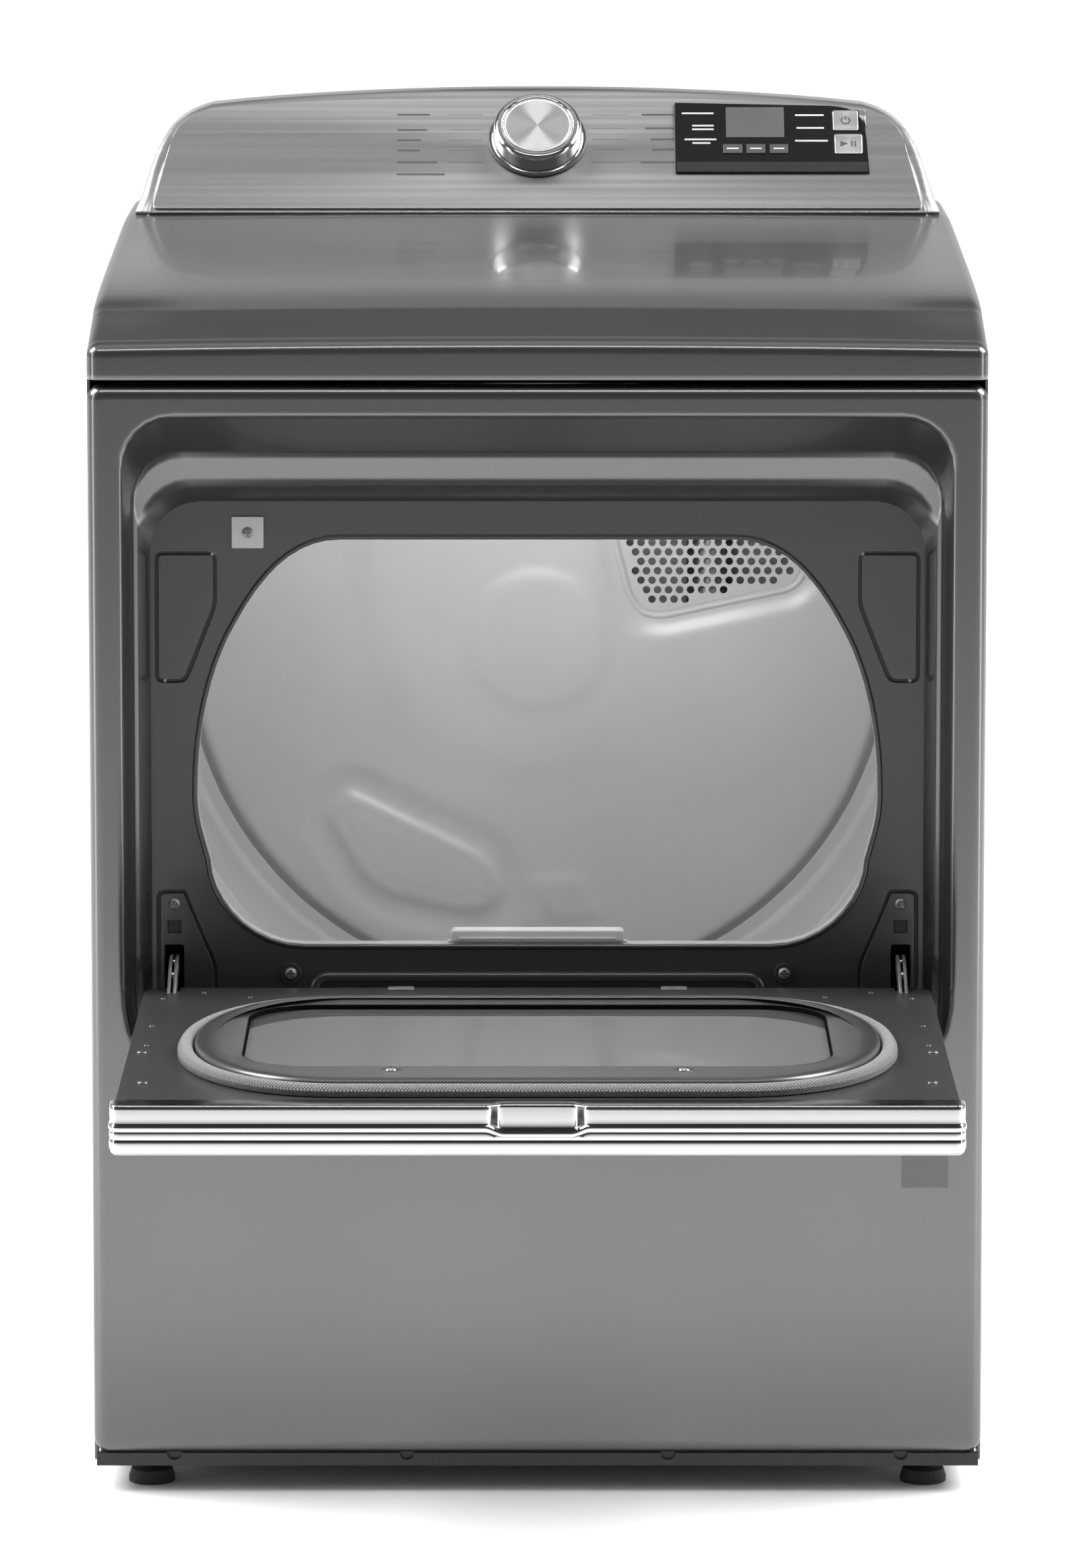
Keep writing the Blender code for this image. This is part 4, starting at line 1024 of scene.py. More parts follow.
def pad_outlines():
    """The embossed pads beside the opening and the hinge pockets below them, at the right."""
    upper = [
        (0.271, 0.624), (0.2946, 0.624), (0.2946, 0.726), (0.247, 0.726), (0.247, 0.6845), (0.266, 0.636)
    ]
    lower = [
        (0.248, 0.332), (0.2942, 0.332), (0.2942, 0.462), (0.2715, 0.462), (0.2695, 0.456), (0.248, 0.403)
    ]
    return rounded(upper, 0.007, 5), rounded(lower, 0.007, 5)


def make_bulkhead():
    """The dark wall round the opening, with its grooved pads, hinge pockets and slots. A dark sheet behind it
    shows through the grooves and slots as painted shade.
    """
    groove = 0.0026
    outlines = [rectangle((-0.338, 0.338), (0.06, 0.861)), opening_outline(0.001)]
    for pad in pad_outlines():
        for shape in (pad, mirrored(pad)):
            outlines += [shape, grown(shape, -groove)]
    for side in (-1, 1):
        slot = sorted((side * 0.2755, side * 0.286))
        outlines.append(rectangle(slot, (0.428, 0.438), 0.0008, 2))
        slot = sorted((side * 0.2735, side * 0.2885))
        outlines.append(rectangle(slot, (0.336, 0.419), 0.002, 3))
    mesh = plate(outlines, BULKHEAD_Y, BULKHEAD_Y + 0.002, 0.0006, 2, "XZ")
    piece("bulkhead_plate", mesh, "liner", ["front_bulkhead"])
    # Painted shade: this dark sheet fills the view through the pads' grooves and the slots.
    holes = [opening_outline(0.002)]
    for side in (-1, 1):
        holes.append(rectangle(sorted((side * 0.2725, side * 0.2895)), (0.335, 0.42)))
    mesh = plate([rectangle((-0.3, 0.3), (0.315, 0.78)), *holes], 0.0606, 0.0616, plane="XZ")
    piece("bulkhead_shade_sheet", mesh, "dark")


def make_opening_rim():
    """The rolled rim of the opening and the pale lip that turns in behind it."""
    rim = [
        (0.0042, 0.0581), (0.0036, 0.0572), (0.0026, 0.0566), (0.0014, 0.0566), (0.0005, 0.0572),
        (0.0002, 0.0584)
    ]
    rings = upright_rings(opening_outline, [*rim, (0.0002, 0.0612)])
    piece("opening_rim", skin(rings), "liner", angle=60)
    lip = [(0.0016, 0.0618), (0.0002, 0.0625), (0.0, 0.064), (0.0, 0.0735), (0.0012, 0.0752), (0.004, 0.0756)]
    rings = upright_rings(opening_outline, lip)
    obj = piece("opening_lip", skin(rings), "drum", angle=60)
    before_normals(obj, "SOLIDIFY", thickness=0.001, offset=1)


def make_drum_collar():
    """The ring behind the bulkhead that the drum's front runs on."""
    collar = rounded([(0.2905, 0.0602), (0.2905, 0.114), (0.293, 0.115), (0.293, 0.0602)], 0.0006, 3)
    mesh = turned([*collar, collar[0]])
    piece("drum_collar", mesh, "drum", place=facing_back(0, 0, DRUM_Z))


def make_bulkhead_fittings():
    """The catch plate, the two bumper plugs, the hinge screws and the two pressed beads below."""
    front = BULKHEAD_Y - 0.0003
    middle = (-0.2228, 0.741)
    half = 0.01225
    outline = rectangle((middle[0] - half, middle[0] + half), (middle[1] - half, middle[1] + half), 0.0012, 3)
    mesh = plate([outline], front - 0.0015, front, 0.0004, 2, "XZ")
    piece("catch_strike", mesh, "drum", ["catch_plate"])
    screw("catch_screw", facing_front(middle[0], front - 0.0015, middle[1]), 0.0042, 0.0016)
    for side, word in SIDES:
        place = facing_front(side * 0.191, front, 0.397)
        ring = rounded(
            [(0.0052, 0.0), (0.0052, 0.0022), (0.0078, 0.002), (0.0084, 0.0)], 0.0006, 3, closed=False
        )
        mesh = turned([(0.0, 0.0012), (0.005, 0.0012), *ring, (0.0, 0.0)], 48)
        piece(f"bumper_ring_{word}", mesh, "rubber", [f"bumper_plug_{word}"], place=place)
        screw(f"bumper_screw_{word}", place @ Matrix.Translation((0, 0, 0.0012)), 0.005, 0.0034)
        screw(f"hinge_screw_{word}", facing_front(side * 0.281, front, 0.451), 0.0045, 0.002)
    outline = rounded(
        [(0.173, 0.35), (0.173, 0.394), (-0.173, 0.394), (-0.173, 0.35)], 0.012, 6, closed=False
    )
    for name, drop, radius in (("lower_bead", 0.0, 0.0042), ("lower_bead_inner", 0.0105, 0.0024)):
        path = [(x * (1 - drop / 0.173), BULKHEAD_Y + 0.0006, z - drop) for x, z in outline]
        piece(name, swept(path, radius, 10), "liner", angle=80)


# ---------------------------------------------------------------- drum and rear wall


ABOUT_DRUM = facing_back(0, 0, DRUM_Z)


def make_drum():
    """The turning drum with rolled ends, two pressed beads and three round-nosed baffles."""
    outer, inner = DRUM_R, DRUM_R - 0.0012
    out = [(outer - 0.019, 0.1), (outer - 0.004, 0.1), (outer, 0.106), (outer, 0.624)]
    out += [(outer - 0.006, 0.632), (outer - 0.0185, 0.632)]
    back = [(outer - 0.0185, 0.6308), (inner - 0.005, 0.6308), (inner - 0.0008, 0.623)]
    bead = [
        (inner, 0.47), (inner - 0.0022, 0.464), (inner, 0.458), (inner, 0.262), (inner - 0.0022, 0.256),
        (inner, 0.25)
    ]
    front = [(inner, 0.107), (inner - 0.004, 0.1012), (outer - 0.019, 0.1012)]
    profile = rounded([*out, *back, *bead, *front], 0.004, 3)
    mesh = turned([*profile, profile[0]], 144)
    piece("drum_wall", mesh, "drum", ["drum_shell"], body="drum", place=ABOUT_DRUM, angle=50)
    for number, angle in enumerate((150, 30, 270), 1):
        make_baffle(number, angle)


def make_baffle(number, angle):
    """A hollow-looking vane, wide at the wall, narrow and round at its tip, drawn in at both ends."""
    rings = []
    stations = [
        (0.13, 0.55), (0.134, 0.8), (0.142, 0.95), (0.155, 1.0), (0.365, 1.0), (0.575, 1.0), (0.588, 0.95)
    ]
    stations += [(0.596, 0.8), (0.6, 0.55)]
    foot = 0.3105
    for y, size in stations:
        height = 0.0715 * size
        section = [(0.0, -0.031), (0.01, -0.0225), (0.03, -0.0145), (0.05, -0.0098), (0.0535, -0.0035)]
        section += [(r, -w) for r, w in reversed(section)]
        ring = [(foot - r / 0.0535 * height, w * (0.7 + 0.3 * size)) for r, w in section]
        rings.append([(r, w, y) for r, w in ring])
    turn = Matrix.Rotation(math.radians(-angle), 4, "Z")
    name = f"drum_vane_{number}"
    mesh = skin(rings, caps=(True, True))
    obj = piece(name, mesh, "drum", [f"drum_baffle_{number}"], body="drum", place=ABOUT_DRUM @ turn, angle=70)
    before_normals(obj, "SUBSURF", levels=1, render_levels=1)


def distance_to_outline(point, outline):
    """Signed distance in the plane: negative inside the closed outline."""
    x, y = point
    nearest, inside = 1e9, False
    for (ax, ay), (bx, by) in zip(outline, outline[1:] + outline[:1]):
        dx, dy = bx - ax, by - ay
        t = max(0.0, min(1.0, ((x - ax) * dx + (y - ay) * dy) / (dx * dx + dy * dy)))
        nearest = min(nearest, math.hypot(x - ax - t * dx, y - ay - t * dy))
        if (ay > y) != (by > y) and x < (bx - ax) * (y - ay) / (by - ay) + ax:
            inside = not inside
    return -nearest if inside else nearest


PRESSED_PAD = rounded(
    [(-0.165, 0.457), (-0.187, 0.421), (-0.146, 0.352), (-0.05, 0.33), (-0.02, 0.352), (-0.032, 0.392)], 0.03,
    5
)
CENTRE_TOWER = rounded(
    [(-0.19, 0.86), (-0.15, 0.56), (-0.12, 0.48), (0.0, 0.44), (0.085, 0.47), (0.062, 0.605), (0.02, 0.86)],
    0.04, 4
)
LOW_BOSS = rounded([(-0.012, 0.372), (0.012, 0.33), (0.058, 0.335), (0.04, 0.378)], 0.012, 4)


def inlet_outline(grow=0.0):
    """The hot-air inlet: a tall shape whose lower edge rises to the right."""
    corners = [(0.08, 0.612), (0.0905, 0.5985), (0.105, 0.597), (0.213, 0.62), (0.222, 0.63)]
    corners += [(0.222, 0.765), (0.068, 0.765), (0.068, 0.659)]
    return grown(rounded(corners, 0.01, 4), grow)


def rear_relief(x, z):
    """How far the pressed rear wall stands out towards the front at one place."""
    radius = math.hypot(x, z - DRUM_Z)
    out = 0.0054 * (1 - smooth_step(radius, 0.2905, 0.2965))
    out -= 0.003 * smooth_step(radius, 0.3, 0.312)
    pad = distance_to_outline((x, z), PRESSED_PAD)
    out -= 0.0035 * (1 - smooth_step(pad, 0.004, 0.02))
    out += 0.0045 * (1 - smooth_step(pad, -0.014, -0.002))
    out -= 0.0012 * smooth_step(-abs(pad + 0.018), -0.0035, 0.0)
    tower = distance_to_outline((x, z), CENTRE_TOWER)
    out += 0.003 * (1 - smooth_step(tower, -0.028, 0.006))
    boss = distance_to_outline((x, z), LOW_BOSS)
    out += 0.0022 * (1 - smooth_step(boss, -0.008, 0.002))
    inlet = distance_to_outline((x, z), inlet_outline())
    out -= 0.0042 * (1 - smooth_step(inlet, 0.006, 0.024))
    out += 0.002 * (1 - smooth_step(radius, 0.052, 0.066))
    return out


def rear_sheet():
    """The wall behind the drum, pressed into broad soft shapes, left open at the inlet."""
    shape = bmesh.new()
    across, up, step = 124, 120, 0.005
    hole = inlet_outline(0.002)
    grid = []
    for j in range(up + 1):
        z = DRUM_Z + (j - up / 2) * step
        row = []
        for i in range(across + 1):
            x = (i - across / 2) * step
            row.append(shape.verts.new((x, REAR_Y - rear_relief(x, z), z)))
        grid.append(row)
    for first, second in zip(grid, grid[1:]):
        for i in range(across):
            shape.faces.new((first[i], first[i + 1], second[i + 1], second[i]))
    inside = []
    for face in shape.faces:
        middle = face.calc_center_median()
        if distance_to_outline((middle.x, middle.z), hole) < 0:
            inside.append(face)
    bmesh.ops.delete(shape, geom=inside, context="FACES")
    return finished(shape)


def make_rear_wall():
    """The pressed wall, and the flat sheet round it that is open at the duct."""
    mesh = rear_sheet()
    obj = piece("rear_wall", mesh, "drum", ["rear_bulkhead"], angle=80, weighted=False)
    before_normals(obj, "SUBSURF", levels=1, render_levels=1)
    outline = rectangle((-0.338, 0.338), (0.06, 0.862))
    holes = [rectangle((-0.308, 0.308), (0.276, 0.855)), circle((0, 0.108), 0.0538)]
    edge = plate([outline, *holes], REAR_Y + 0.0015, REAR_Y + 0.003, plane="XZ")
    piece("rear_wall_edge", edge, "drum")


def make_roller_axles():
    """The two fixed axles of the drum's rollers, below the drum at 35 degrees from the middle."""
    for side, word in SIDES:
        reach = DRUM_R + 0.0375 + 0.0003
        turn = math.radians(35)
        x, z = side * reach * math.sin(turn), DRUM_Z - reach * math.cos(turn)
        place = facing_back(x, 0, z)
        axle = turned([(0, 0.586), (0.0045, 0.586), (0.005, 0.5865), (0.005, 0.6415), (0, 0.6415)], 32)
        piece(f"roller_axle_{word}", axle, "zinc", place=place)


def make_inlet():
    """The grille: round holes in staggered rows inside a bevelled frame."""
    pitch, radius = 0.0093, 0.00325
    rows = []
    limit = inlet_outline(-0.0062)
    for j in range(22):
        for i in range(18):
            x = 0.064 + pitch * (i + 0.5 * (j % 2))
            z = 0.6 + pitch * math.sqrt(0.75) * j
            if distance_to_outline((x, z), limit) < 0:
                rows.append(circle((x, z), radius, 12))
    mesh = plate([inlet_outline(-0.0005), *rows], REAR_Y - 0.0002, REAR_Y + 0.001, 0.0002, 0, "XZ")
    piece("inlet_plate", mesh, "drum", ["inlet_grille"])
    section = [
        (0.0075, 0.0016), (0.0062, -0.0012), (0.004, -0.0024), (0.0016, -0.0022), (0.0, 0.0002),
        (-0.0018, 0.0006)
    ]
    rings = upright_rings(inlet_outline, section, REAR_Y)
    piece("inlet_frame", skin(rings), "drum", angle=60)
    seal = [(0.0085, -0.0002), (0.0075, -0.0008), (0.007, 0.0018)]
    rings = upright_rings(inlet_outline, seal, REAR_Y)
    piece("inlet_gasket", skin(rings), "rubber", angle=60)


def make_drum_lamp():
    """The lamp's domed lens on the rear wall."""
    place = facing_back(-0.067, 0, 0.664)
    profile = [
        (0.0, 0.6322), (0.01, 0.6324), (0.0155, 0.633), (0.0175, 0.6342), (0.03, 0.6345), (0.04, 0.6357)
    ]
    profile += [(0.0418, 0.6375), (0.042, 0.6397), (0.0, 0.6397)]
    piece("lamp_dome", turned(profile), "lens", ["drum_lamp"], place=place)


def make_lint_screen():
    """The lift-out screen: a framed mesh below a soft-edged grip with a finger ledge."""
    half, low, high = 0.0672, 0.42, 0.4305
    grip = plate([rectangle((-half, half), (low, high), 0.004, 5)], 0.0612, 0.075, 0.0022, 4, "XZ")
    piece("lint_grip", grip, "white", ["lint_screen"], body="lint_filter")
    rib = plate(
        [rectangle((-half + 0.006, half - 0.006), (0.4228, 0.4244), 0.0007, 2)], 0.0604, 0.0618, 0.0004, 2,
        "XZ"
    )
    piece("lint_grip_rib", rib, "white", body="lint_filter")
    windows = [
        rectangle((-0.064 + 0.033 * i, -0.036 + 0.033 * i), (0.222, 0.405), 0.003, 3) for i in range(4)
    ]
    body = plate(
        [rectangle((-0.07, 0.07), (0.215, 0.4215), 0.002, 3), *windows], 0.064, 0.07, 0.0008, 2, "XZ"
    )
    piece("lint_frame", body, "white", body="lint_filter")
    net = plate([rectangle((-0.066, 0.066), (0.22, 0.407))], 0.0658, 0.0662, plane="XZ")
    piece("lint_net", net, "net", body="lint_filter")


# ---------------------------------------------------------------- door


def door_outline(inset=0.0, notch=0.0):
    """The door from above: square at the handle, round at the hinge, with a notch for each arm."""
    half, front, back = DOOR_HALF - inset, DOOR_FRONT + inset, DOOR_BACK - inset
    corner = arc((half - 0.018, back - 0.018 + inset), 0.018 - inset, 0, 90, 7)
    right = [(half, front), *corner]
    if notch:
        left_edge, right_edge = ARM_X - 0.006, ARM_X + 0.0035
        right = [(half, front)] + [p for p in corner if p[0] > right_edge]
        right += [
            (right_edge, back), (right_edge, back - notch), (left_edge, back - notch), (left_edge, back)
        ]
    return right + mirrored(right)


def make_door_shell():
    """The painted tray: a flat floor with rolled edges, rolled lips and turned-in flanges."""
    top = DOOR_TOP - 0.0023
    section = [(0.006, top), (0.0012, top), (0.0, top - 0.0012)]
    section += [(inset, DOOR_LOW + depth) for inset, depth in edge_roll(0.0045, 5)]
    mesh = skin(flat_rings(door_outline, section), caps=(False, True))
    obj = piece("door_tray", mesh, "slate", ["door_outer_panel"], body="door")
    before_normals(obj, "SOLIDIFY", thickness=0.001, offset=-1)


def make_door_liner():
    """The dark liner: a flat sheet whose middle rises in an oval dish round the sunken window."""
    sheet = plate([door_outline(0.0004, 0.016), dish_outline(0.0028)], DOOR_TOP - 0.0018, DOOR_TOP, 0.0005)
    piece("door_liner_sheet", sheet, "liner", ["door_inner_panel"], body="door")
    section = [
        (0.0035, 0.3911), (0.0015, 0.3914), (0.0002, 0.3925), (0.0, 0.395), (0.0, 0.399), (-0.001, 0.4015)
    ]
    section += [(-0.0035, 0.4028), (-0.008, 0.4031), (-0.016, 0.403)]
    rings = flat_rings(dish_outline, section)
    window = [
        (0.013, 0.4022), (0.008, 0.4016), (0.003, 0.4006), (0.001, 0.3999), (0.0, 0.3988), (0.0, 0.3926)
    ]
    rings += flat_rings(window_outline, window)
    dish = skin(rings)
    piece("door_dish", dish, "liner", body="door", angle=70)
    # The window's inner wall is painted near-black: painted shade in place of the liner's own colour.
    wall = flat_rings(window_outline, [(-0.0001, 0.3996), (-0.0001, 0.3922)])
    piece("window_wall", skin(wall), "shadow", body="door")


def make_door_window():
    """The tinted pane and the black sheet that shows through it."""
    pane = plate([window_outline(-0.0005)], 0.3927, 0.396, 0.0006)
    piece("window_pane", pane, "glass", ["door_window"], body="door")
    below = plate([window_outline(0.002)], 0.3895, 0.3905)
    piece("window_backing", below, "gloss", body="door")


def make_door_seal():
    """A hollow woven bead laid round the dish, smooth on top, with fine stitched ribs at its outer foot."""
    section = [(0.0012, 0.392), (0.0008, 0.396), (0.001, 0.4), (0.0022, 0.4028), (0.0042, 0.4042)]
    section += [(0.0064, 0.4045), (0.0086, 0.4039), (0.0104, 0.4024), (0.0116, 0.4002), (0.012, 0.3986)]
    for k in range(9):
        bump = 0.0005 if k % 2 == 0 else -0.0001
        section.append((0.0121 + bump + 0.00002 * k, 0.3977 - 0.0006 * k))
    section.append((0.0112, 0.392))
    low, squash = 0.392, 0.7
    rings = flat_rings(dish_outline, [(by, low + squash * (z - low)) for by, z in [*section, section[0]]])
    piece("seal_bead", skin(rings), "felt", ["door_seal"], body="door", angle=180, weighted=False)


HANDLE_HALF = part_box("door_handle")[1].x
HANDLE_BACK, HANDLE_REACH = -0.4053, 0.0227


def handle_profile():
    """(inset from the front, height) down the bar's front: a tall band, a ridge, a band and a rolled foot."""
    points = [
        (0.0227, 0.3916), (0.012, 0.3916), (0.004, 0.3915), (0.0018, 0.3912), (0.001, 0.3904), (0.0009, 0.388)
    ]
    points += [
        (0.001, 0.382), (0.0012, 0.3785), (0.001, 0.3774), (0.0004, 0.3768), (0.0, 0.3758), (0.0, 0.3742)
    ]
    points += [
        (0.0003, 0.3733), (0.0008, 0.3728), (0.001, 0.3724), (0.0008, 0.3719), (0.0006, 0.3708),
        (0.0006, 0.368)
    ]
    points += [
        (0.0008, 0.367), (0.0011, 0.3665), (0.001, 0.3661), (0.0006, 0.3655), (0.0004, 0.364), (0.0005, 0.36)
    ]
    return points + [(0.0014, 0.3568), (0.0035, 0.3548), (0.006, 0.3545), (0.015, 0.3545), (0.0227, 0.3545)]


def handle_path(inset):
    """The bar from above at one inset: from its left back end round the front to the right back end."""
    radius = max(0.0084 - inset, 0.0004)
    half, front = HANDLE_HALF - inset, HANDLE_BACK - HANDLE_REACH + inset
    left = [(-half, HANDLE_BACK), *arc((-half + radius, front + radius), radius, 180, 270, 6)]
    stops = [
        0.26, 0.2, 0.14, 0.09, 0.06, 0.045, 0.04, 0.0375, 0.0355, 0.0335, 0.0315, 0.029, 0.0265, 0.024, 0.02,
        0.012, 0.0
    ]
    middle = [(-x, front) for x in stops] + [(x, front) for x in reversed(stops[:-1])]
    return left + middle + [(-x, y) for x, y in reversed(left)]


def scooped(x, y, z):
    """The finger scoop: the tall band steps back between two slanted cheeks, and the ridge dips below it."""
    inside = 1 - smooth_step(abs(x), 0.0245, 0.0375)
    front = HANDLE_BACK - HANDLE_REACH
    if z > 0.3772:
        y += 0.0105 * inside * (1 - smooth_step(y, front + 0.004, front + 0.02))
        shallow = 1 - smooth_step(y, front + 0.01, front + 0.02)
        z -= 0.0012 * inside * smooth_step(z, 0.389, 0.3912) * shallow
    fall = smooth_step(z, 0.369, 0.3726) * (1 - smooth_step(z, 0.38, 0.388))
    return (x, y, z - 0.0042 * inside * fall)


def make_handle():
    """The plated bar across the door's front edge, with its finger scoop."""
    rings = []
    for inset, z in handle_profile():
        rings.append([scooped(x, y, z) for x, y in handle_path(inset)])
    bar = skin(rings, closed=False)
    piece("handle_bar", bar, "handle", ["door_handle"], body="door", angle=60, weighted=False)


def make_hinge_arms():
    """A pair of flat hooks at each side, joined by three pins, that pass through the bulkhead."""
    upper = [(-0.0135, 0.382), (0.008, 0.395), (0.03, 0.406), (0.05, 0.412), (0.074, 0.409)]
    lower = [(0.078, 0.4), (0.052, 0.3985), (0.034, 0.394), (0.012, 0.38), (-0.008, 0.37)]
    outline = rounded(list(reversed(upper + lower)), 0.006, 5)
    across = Matrix.Rotation(math.radians(90), 4, "Y")
    for side, word in SIDES:
        for layer, start in (("inner", -0.0035), ("outer", 0.001)):
            x = sorted((side * (ARM_X + start), side * (ARM_X + start + 0.0025)))
            mesh = plate([outline], x[0], x[1], 0.0006, 2, "YZ")
            nodes = [f"hinge_arm_{word}"] if layer == "inner" else ()
            piece(f"hinge_{layer}_{word}", mesh, "zinc", nodes, body="door")
        for i, (y, z) in enumerate(((0.004, 0.3855), (0.03, 0.4), (0.058, 0.405)), 1):
            profile = rounded(
                [(0.0, -0.0036), (0.0034, -0.0036), (0.0034, 0.0036), (0.0, 0.0036)], 0.0006, 3, closed=False
            )
            place = CABINET @ Matrix.Translation((side * ARM_X, y, z)) @ across
            name = f"hinge_pin_{word}_{i}"
            piece(name, turned(profile, 32), "chrome", body="door", place=place)


def make_door_fixings():
    """Screws round the liner and on the window's rim, and two clips at the hinge edge."""
    for side, word in SIDES:
        place = facing_up(side * 0.106, -0.353, 0.4026)
        screw(f"rim_screw_{word}", place, 0.0046, 0.0024, "chrome", "door")
        halo = turned([(0.0046, 0.0), (0.008, 0.0), (0.0076, 0.0004), (0.005, 0.0004), (0.0046, 0.0)], 32)
        piece(f"screw_ring_{word}", halo, "dark", body="door", place=place)
        spots = [
            (0.286, -0.02, 0), (0.2895, -0.13, 0), (0.29, -0.205, 0), (0.292, -0.232, 1), (0.286, -0.345, 1)
        ]
        spots += [(0.256, 0.004, 0), (0.22, -0.014, 0)]
        for i, (x, y, big) in enumerate(spots, 1):
            size = 0.0042 if big else 0.0022
            screw(
                f"liner_screw_{word}_{i}", facing_up(side * x, y, DOOR_TOP - 0.0001), size, 0.5 * size,
                "liner", "door"
            )
        clip = plate(
            [rectangle(sorted((side * 0.095, side * 0.115)), (0.013, 0.0246), 0.002, 3)], DOOR_TOP,
            DOOR_TOP + 0.0012, 0.0004
        )
        piece(f"edge_clip_{word}", clip, "zinc", body="door")


def make_front_details():
    """A dark strip behind the gap at the toe as painted shade, and the blank label on the front."""
    # Painted shade: a dark plate behind the toe's notches, where the base under the machine is in shadow.
    backing = plate([rectangle((-0.335, 0.335), (0.02, 0.03))], 0.0085, 0.0095, plane="XZ")
    piece("toe_shade_strip", backing, "dark")
    mesh = plate([rectangle((0.28, 0.316), (0.24, 0.276), 0.0015, 3)], -0.00012, 0.00002, plane="XZ")
    piece("blank_decal", mesh, "decal")


# ---------------------------------------------------------------- back and base


def make_back_details():
    """Panel screws, pressed ribs and the terminal cover's screws at the rear."""
    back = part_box("rear_panel")[1].y - FRONT
    spots = [(side * 0.33, z) for side in (-1, 1) for z in (0.045, 0.24, 0.44, 0.64, 0.845)]
    spots += [(x, 0.855) for x in (-0.2, 0.0, 0.2)] + [(x, 0.033) for x in (-0.2, 0.2)]
    for i, (x, z) in enumerate(spots, 1):
        screw(f"rear_screw_{i}", facing_back(x, back, z), 0.0042, 0.002)
    for side, word in SIDES:
        path = [(side * 0.06, back, 0.52), (side * 0.06, back, 0.66)]
        bead = swept(path, 0.004, 12)
        piece(f"rear_rib_{word}", bead, "zinc", angle=80)
    low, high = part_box("terminal_cover")
    middle, reach = (low.x + high.x) / 2, high.y - FRONT
    for i, z in enumerate((low.z + 0.008, high.z - 0.008), 1):
        screw(f"cover_screw_{i}", facing_back(middle, reach, z), 0.004, 0.0018)
    ring = rounded(
        [(0.0512, 0.7005), (0.056, 0.7005), (0.056, 0.7035), (0.0524, 0.704), (0.0512, 0.706)], 0.0008, 3
    )
    place = facing_back(0, 0, 0.108)
    piece("exhaust_collar_ring", turned([*ring, ring[0]]), "zinc", place=place)


# ---------------------------------------------------------------- stage, light and camera


def make_stage():
    """A wide pale floor that glows white, more so behind the object, as a lit studio sweep does."""
    floor = plate([circle((0, 0), 40.0, 96)], -0.01, 0.0)
    obj = bpy.data.objects.new("studio_floor", floor)
    bpy.context.scene.collection.objects.link(obj)
    look = new_look("studio_floor", (0.92, 0.92, 0.92), 0.0, 0.6)
    tint(look, pattern(look, "Noise", 3), grey(0.915, 1.0), grey(0.925, 1.0))
    tree = look.node_tree
    coordinates = tree.nodes.new("ShaderNodeTexCoord")
    split = tree.nodes.new("ShaderNodeSeparateXYZ")
    tree.links.new(coordinates.outputs["Object"], split.inputs["Vector"])
    shader = tree.nodes["Principled BSDF"]
    shader.inputs["Emission Color"].default_value = (1, 1, 1, 1)
    tree.links.new(spread(look, split.outputs["Y"], 0.0, 0.85, 0.6, 1.8), shader.inputs["Emission Strength"])
    floor.materials.append(look)


def make_world():
    """A soft studio sky: bright overhead and low down, darker between, as large lit cards give."""
    world = bpy.data.worlds.new("studio")
    bpy.context.scene.world = world
    world.use_nodes = True
    tree = world.node_tree
    background = tree.nodes["Background"]
    coordinates = tree.nodes.new("ShaderNodeTexCoord")
    split = tree.nodes.new("ShaderNodeSeparateXYZ")
    ramp = tree.nodes.new("ShaderNodeValToRGB")
    tree.links.new(coordinates.outputs["Generated"], split.inputs["Vector"])
    tree.links.new(split.outputs["Z"], ramp.inputs["Fac"])
    behind = spread(world, split.outputs["Y"], 0.13, 0.8, -0.35, 0.45)
    tree.links.new(behind, background.inputs["Strength"])
    tree.links.new(ramp.outputs["Color"], background.inputs["Color"])
    stops = [(0.0, 0.9), (0.22, 0.8), (0.42, 0.35), (0.62, 0.16), (0.8, 0.3), (0.93, 1.15), (1.0, 1.5)]
    ramp.color_ramp.elements[0].position, ramp.color_ramp.elements[1].position = stops[0][0], stops[-1][0]
    for position, _ in stops[1:-1]:
        ramp.color_ramp.elements.new(position)
    for element, (_, level) in zip(ramp.color_ramp.elements, stops):
        element.color = (level, level, level, 1)


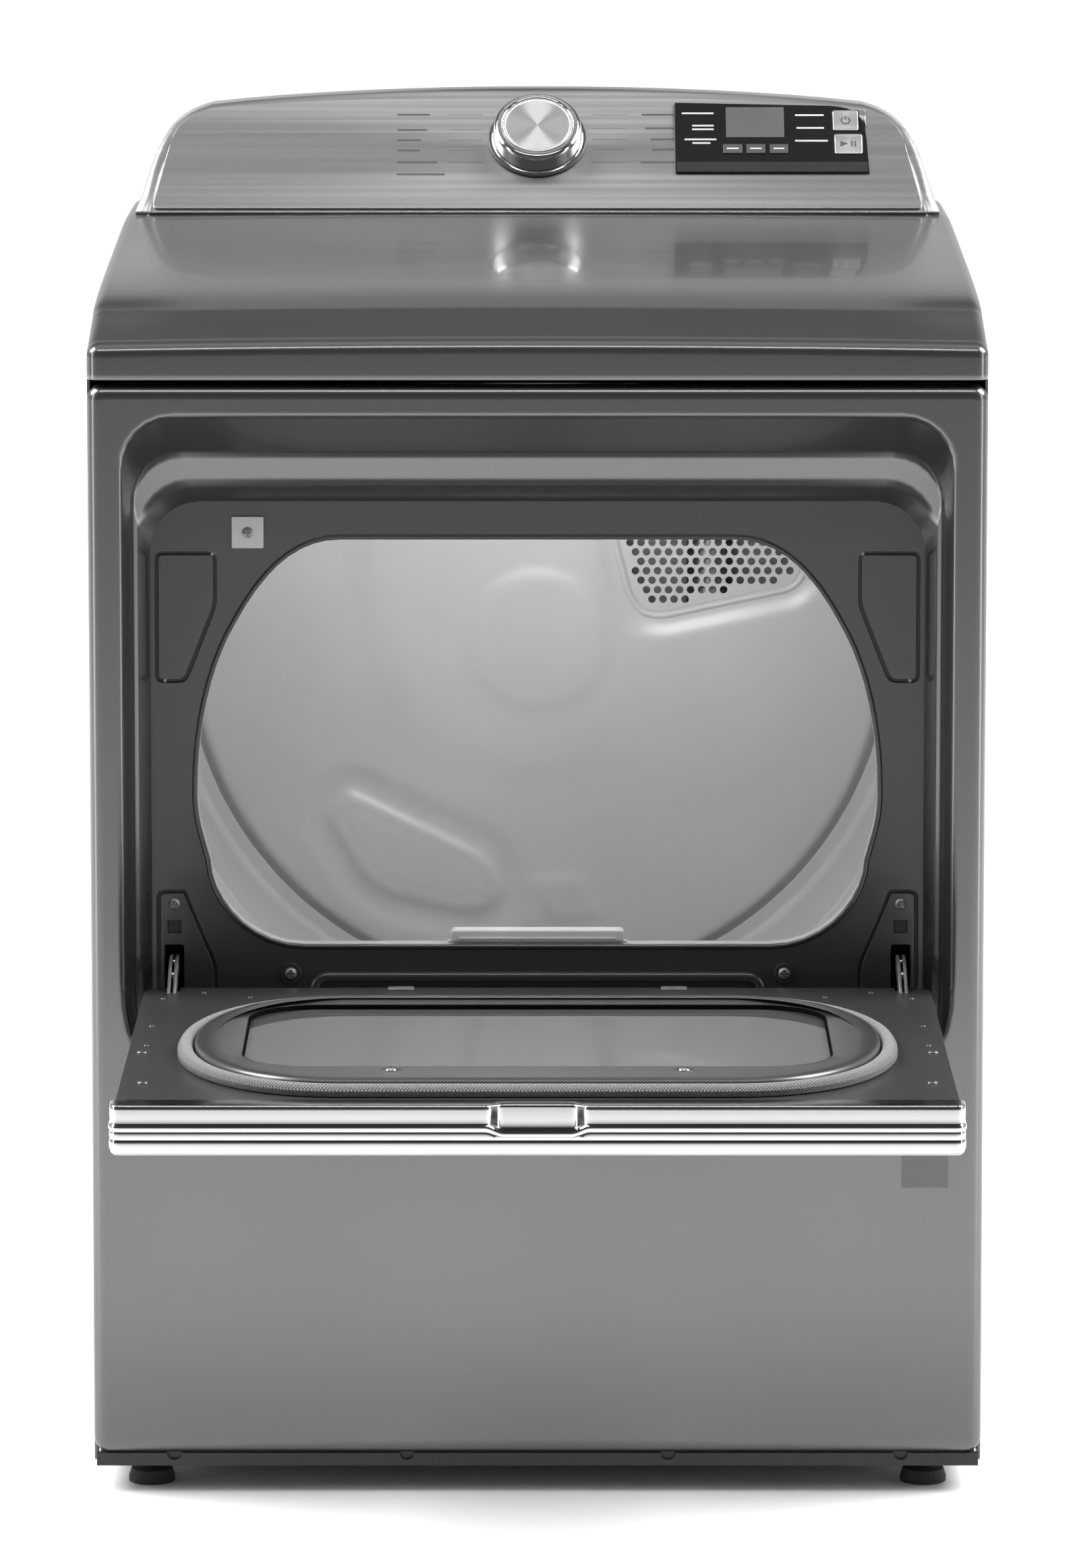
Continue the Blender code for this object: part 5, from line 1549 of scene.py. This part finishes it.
def softbox(name, place, target, size, power):
    """A rectangular area light turned towards a target and unseen by the camera."""
    light = bpy.data.lights.new(name, "AREA")
    light.shape = "RECTANGLE"
    light.size, light.size_y = size
    light.energy = power
    obj = bpy.data.objects.new(name, light)
    bpy.context.scene.collection.objects.link(obj)
    obj.location = place
    obj.rotation_euler = (Vector(target) - Vector(place)).to_track_quat("-Z", "Y").to_euler()
    obj.visible_camera = False


def make_lights():
    """High cards at both sides light the floor, strips pick out the edges, and one sits inside the drum."""
    for side, word in SIDES:
        softbox(f"{word}_key_light", (side * 3.6, 0.2, 3.8), (0, -0.2, 0.0), (2.6, 2.6), 400)
        softbox(f"{word}_strip_light", (side * 2.4, -1.1, 0.9), (0, 0, 0.6), (0.3, 2.0), 12)
    softbox("top_strip_light", (0, -1.6, 3.4), (0, 0, 0.9), (2.6, 0.3), 24)
    softbox("drum_light", (0, FRONT + 0.16, DRUM_Z + 0.235), (0, FRONT + 0.6, DRUM_Z - 0.06), (0.3, 0.1), 1.9)


CAMERA_LENS, CAMERA_SHIFT = 182.675, -0.15
CAMERA_DISTANCE, CAMERA_HEIGHT, CAMERA_TILT = 6.0033, 1.5323, 7.5576


def make_camera():
    """The photograph's view: low in front, through a long lens."""
    data = bpy.data.cameras.new("camera")
    data.sensor_width = 36
    data.lens = CAMERA_LENS
    data.shift_y = CAMERA_SHIFT
    data.clip_end = 200
    camera = bpy.data.objects.new("camera", data)
    bpy.context.scene.collection.objects.link(camera)
    camera.location = (0, FRONT - CAMERA_DISTANCE, CAMERA_HEIGHT)
    camera.rotation_euler = (math.radians(90 - CAMERA_TILT), 0, 0)
    bpy.context.scene.camera = camera


bpy.context.scene.view_settings.view_transform = "Standard"
dress_frame()
make_front_panel()
make_top_panel()
make_console()
make_fascia()
make_cycle_marks()
make_knob()
make_display()
make_buttons()
make_option_keys()
make_label_bars()
make_bulkhead()
make_opening_rim()
make_drum_collar()
make_bulkhead_fittings()
make_drum()
make_rear_wall()
make_roller_axles()
make_inlet()
make_drum_lamp()
make_lint_screen()
make_door_shell()
make_door_liner()
make_door_window()
make_door_seal()
make_handle()
make_hinge_arms()
make_door_fixings()
make_front_details()
make_back_details()
make_stage()
make_world()
make_lights()
make_camera()
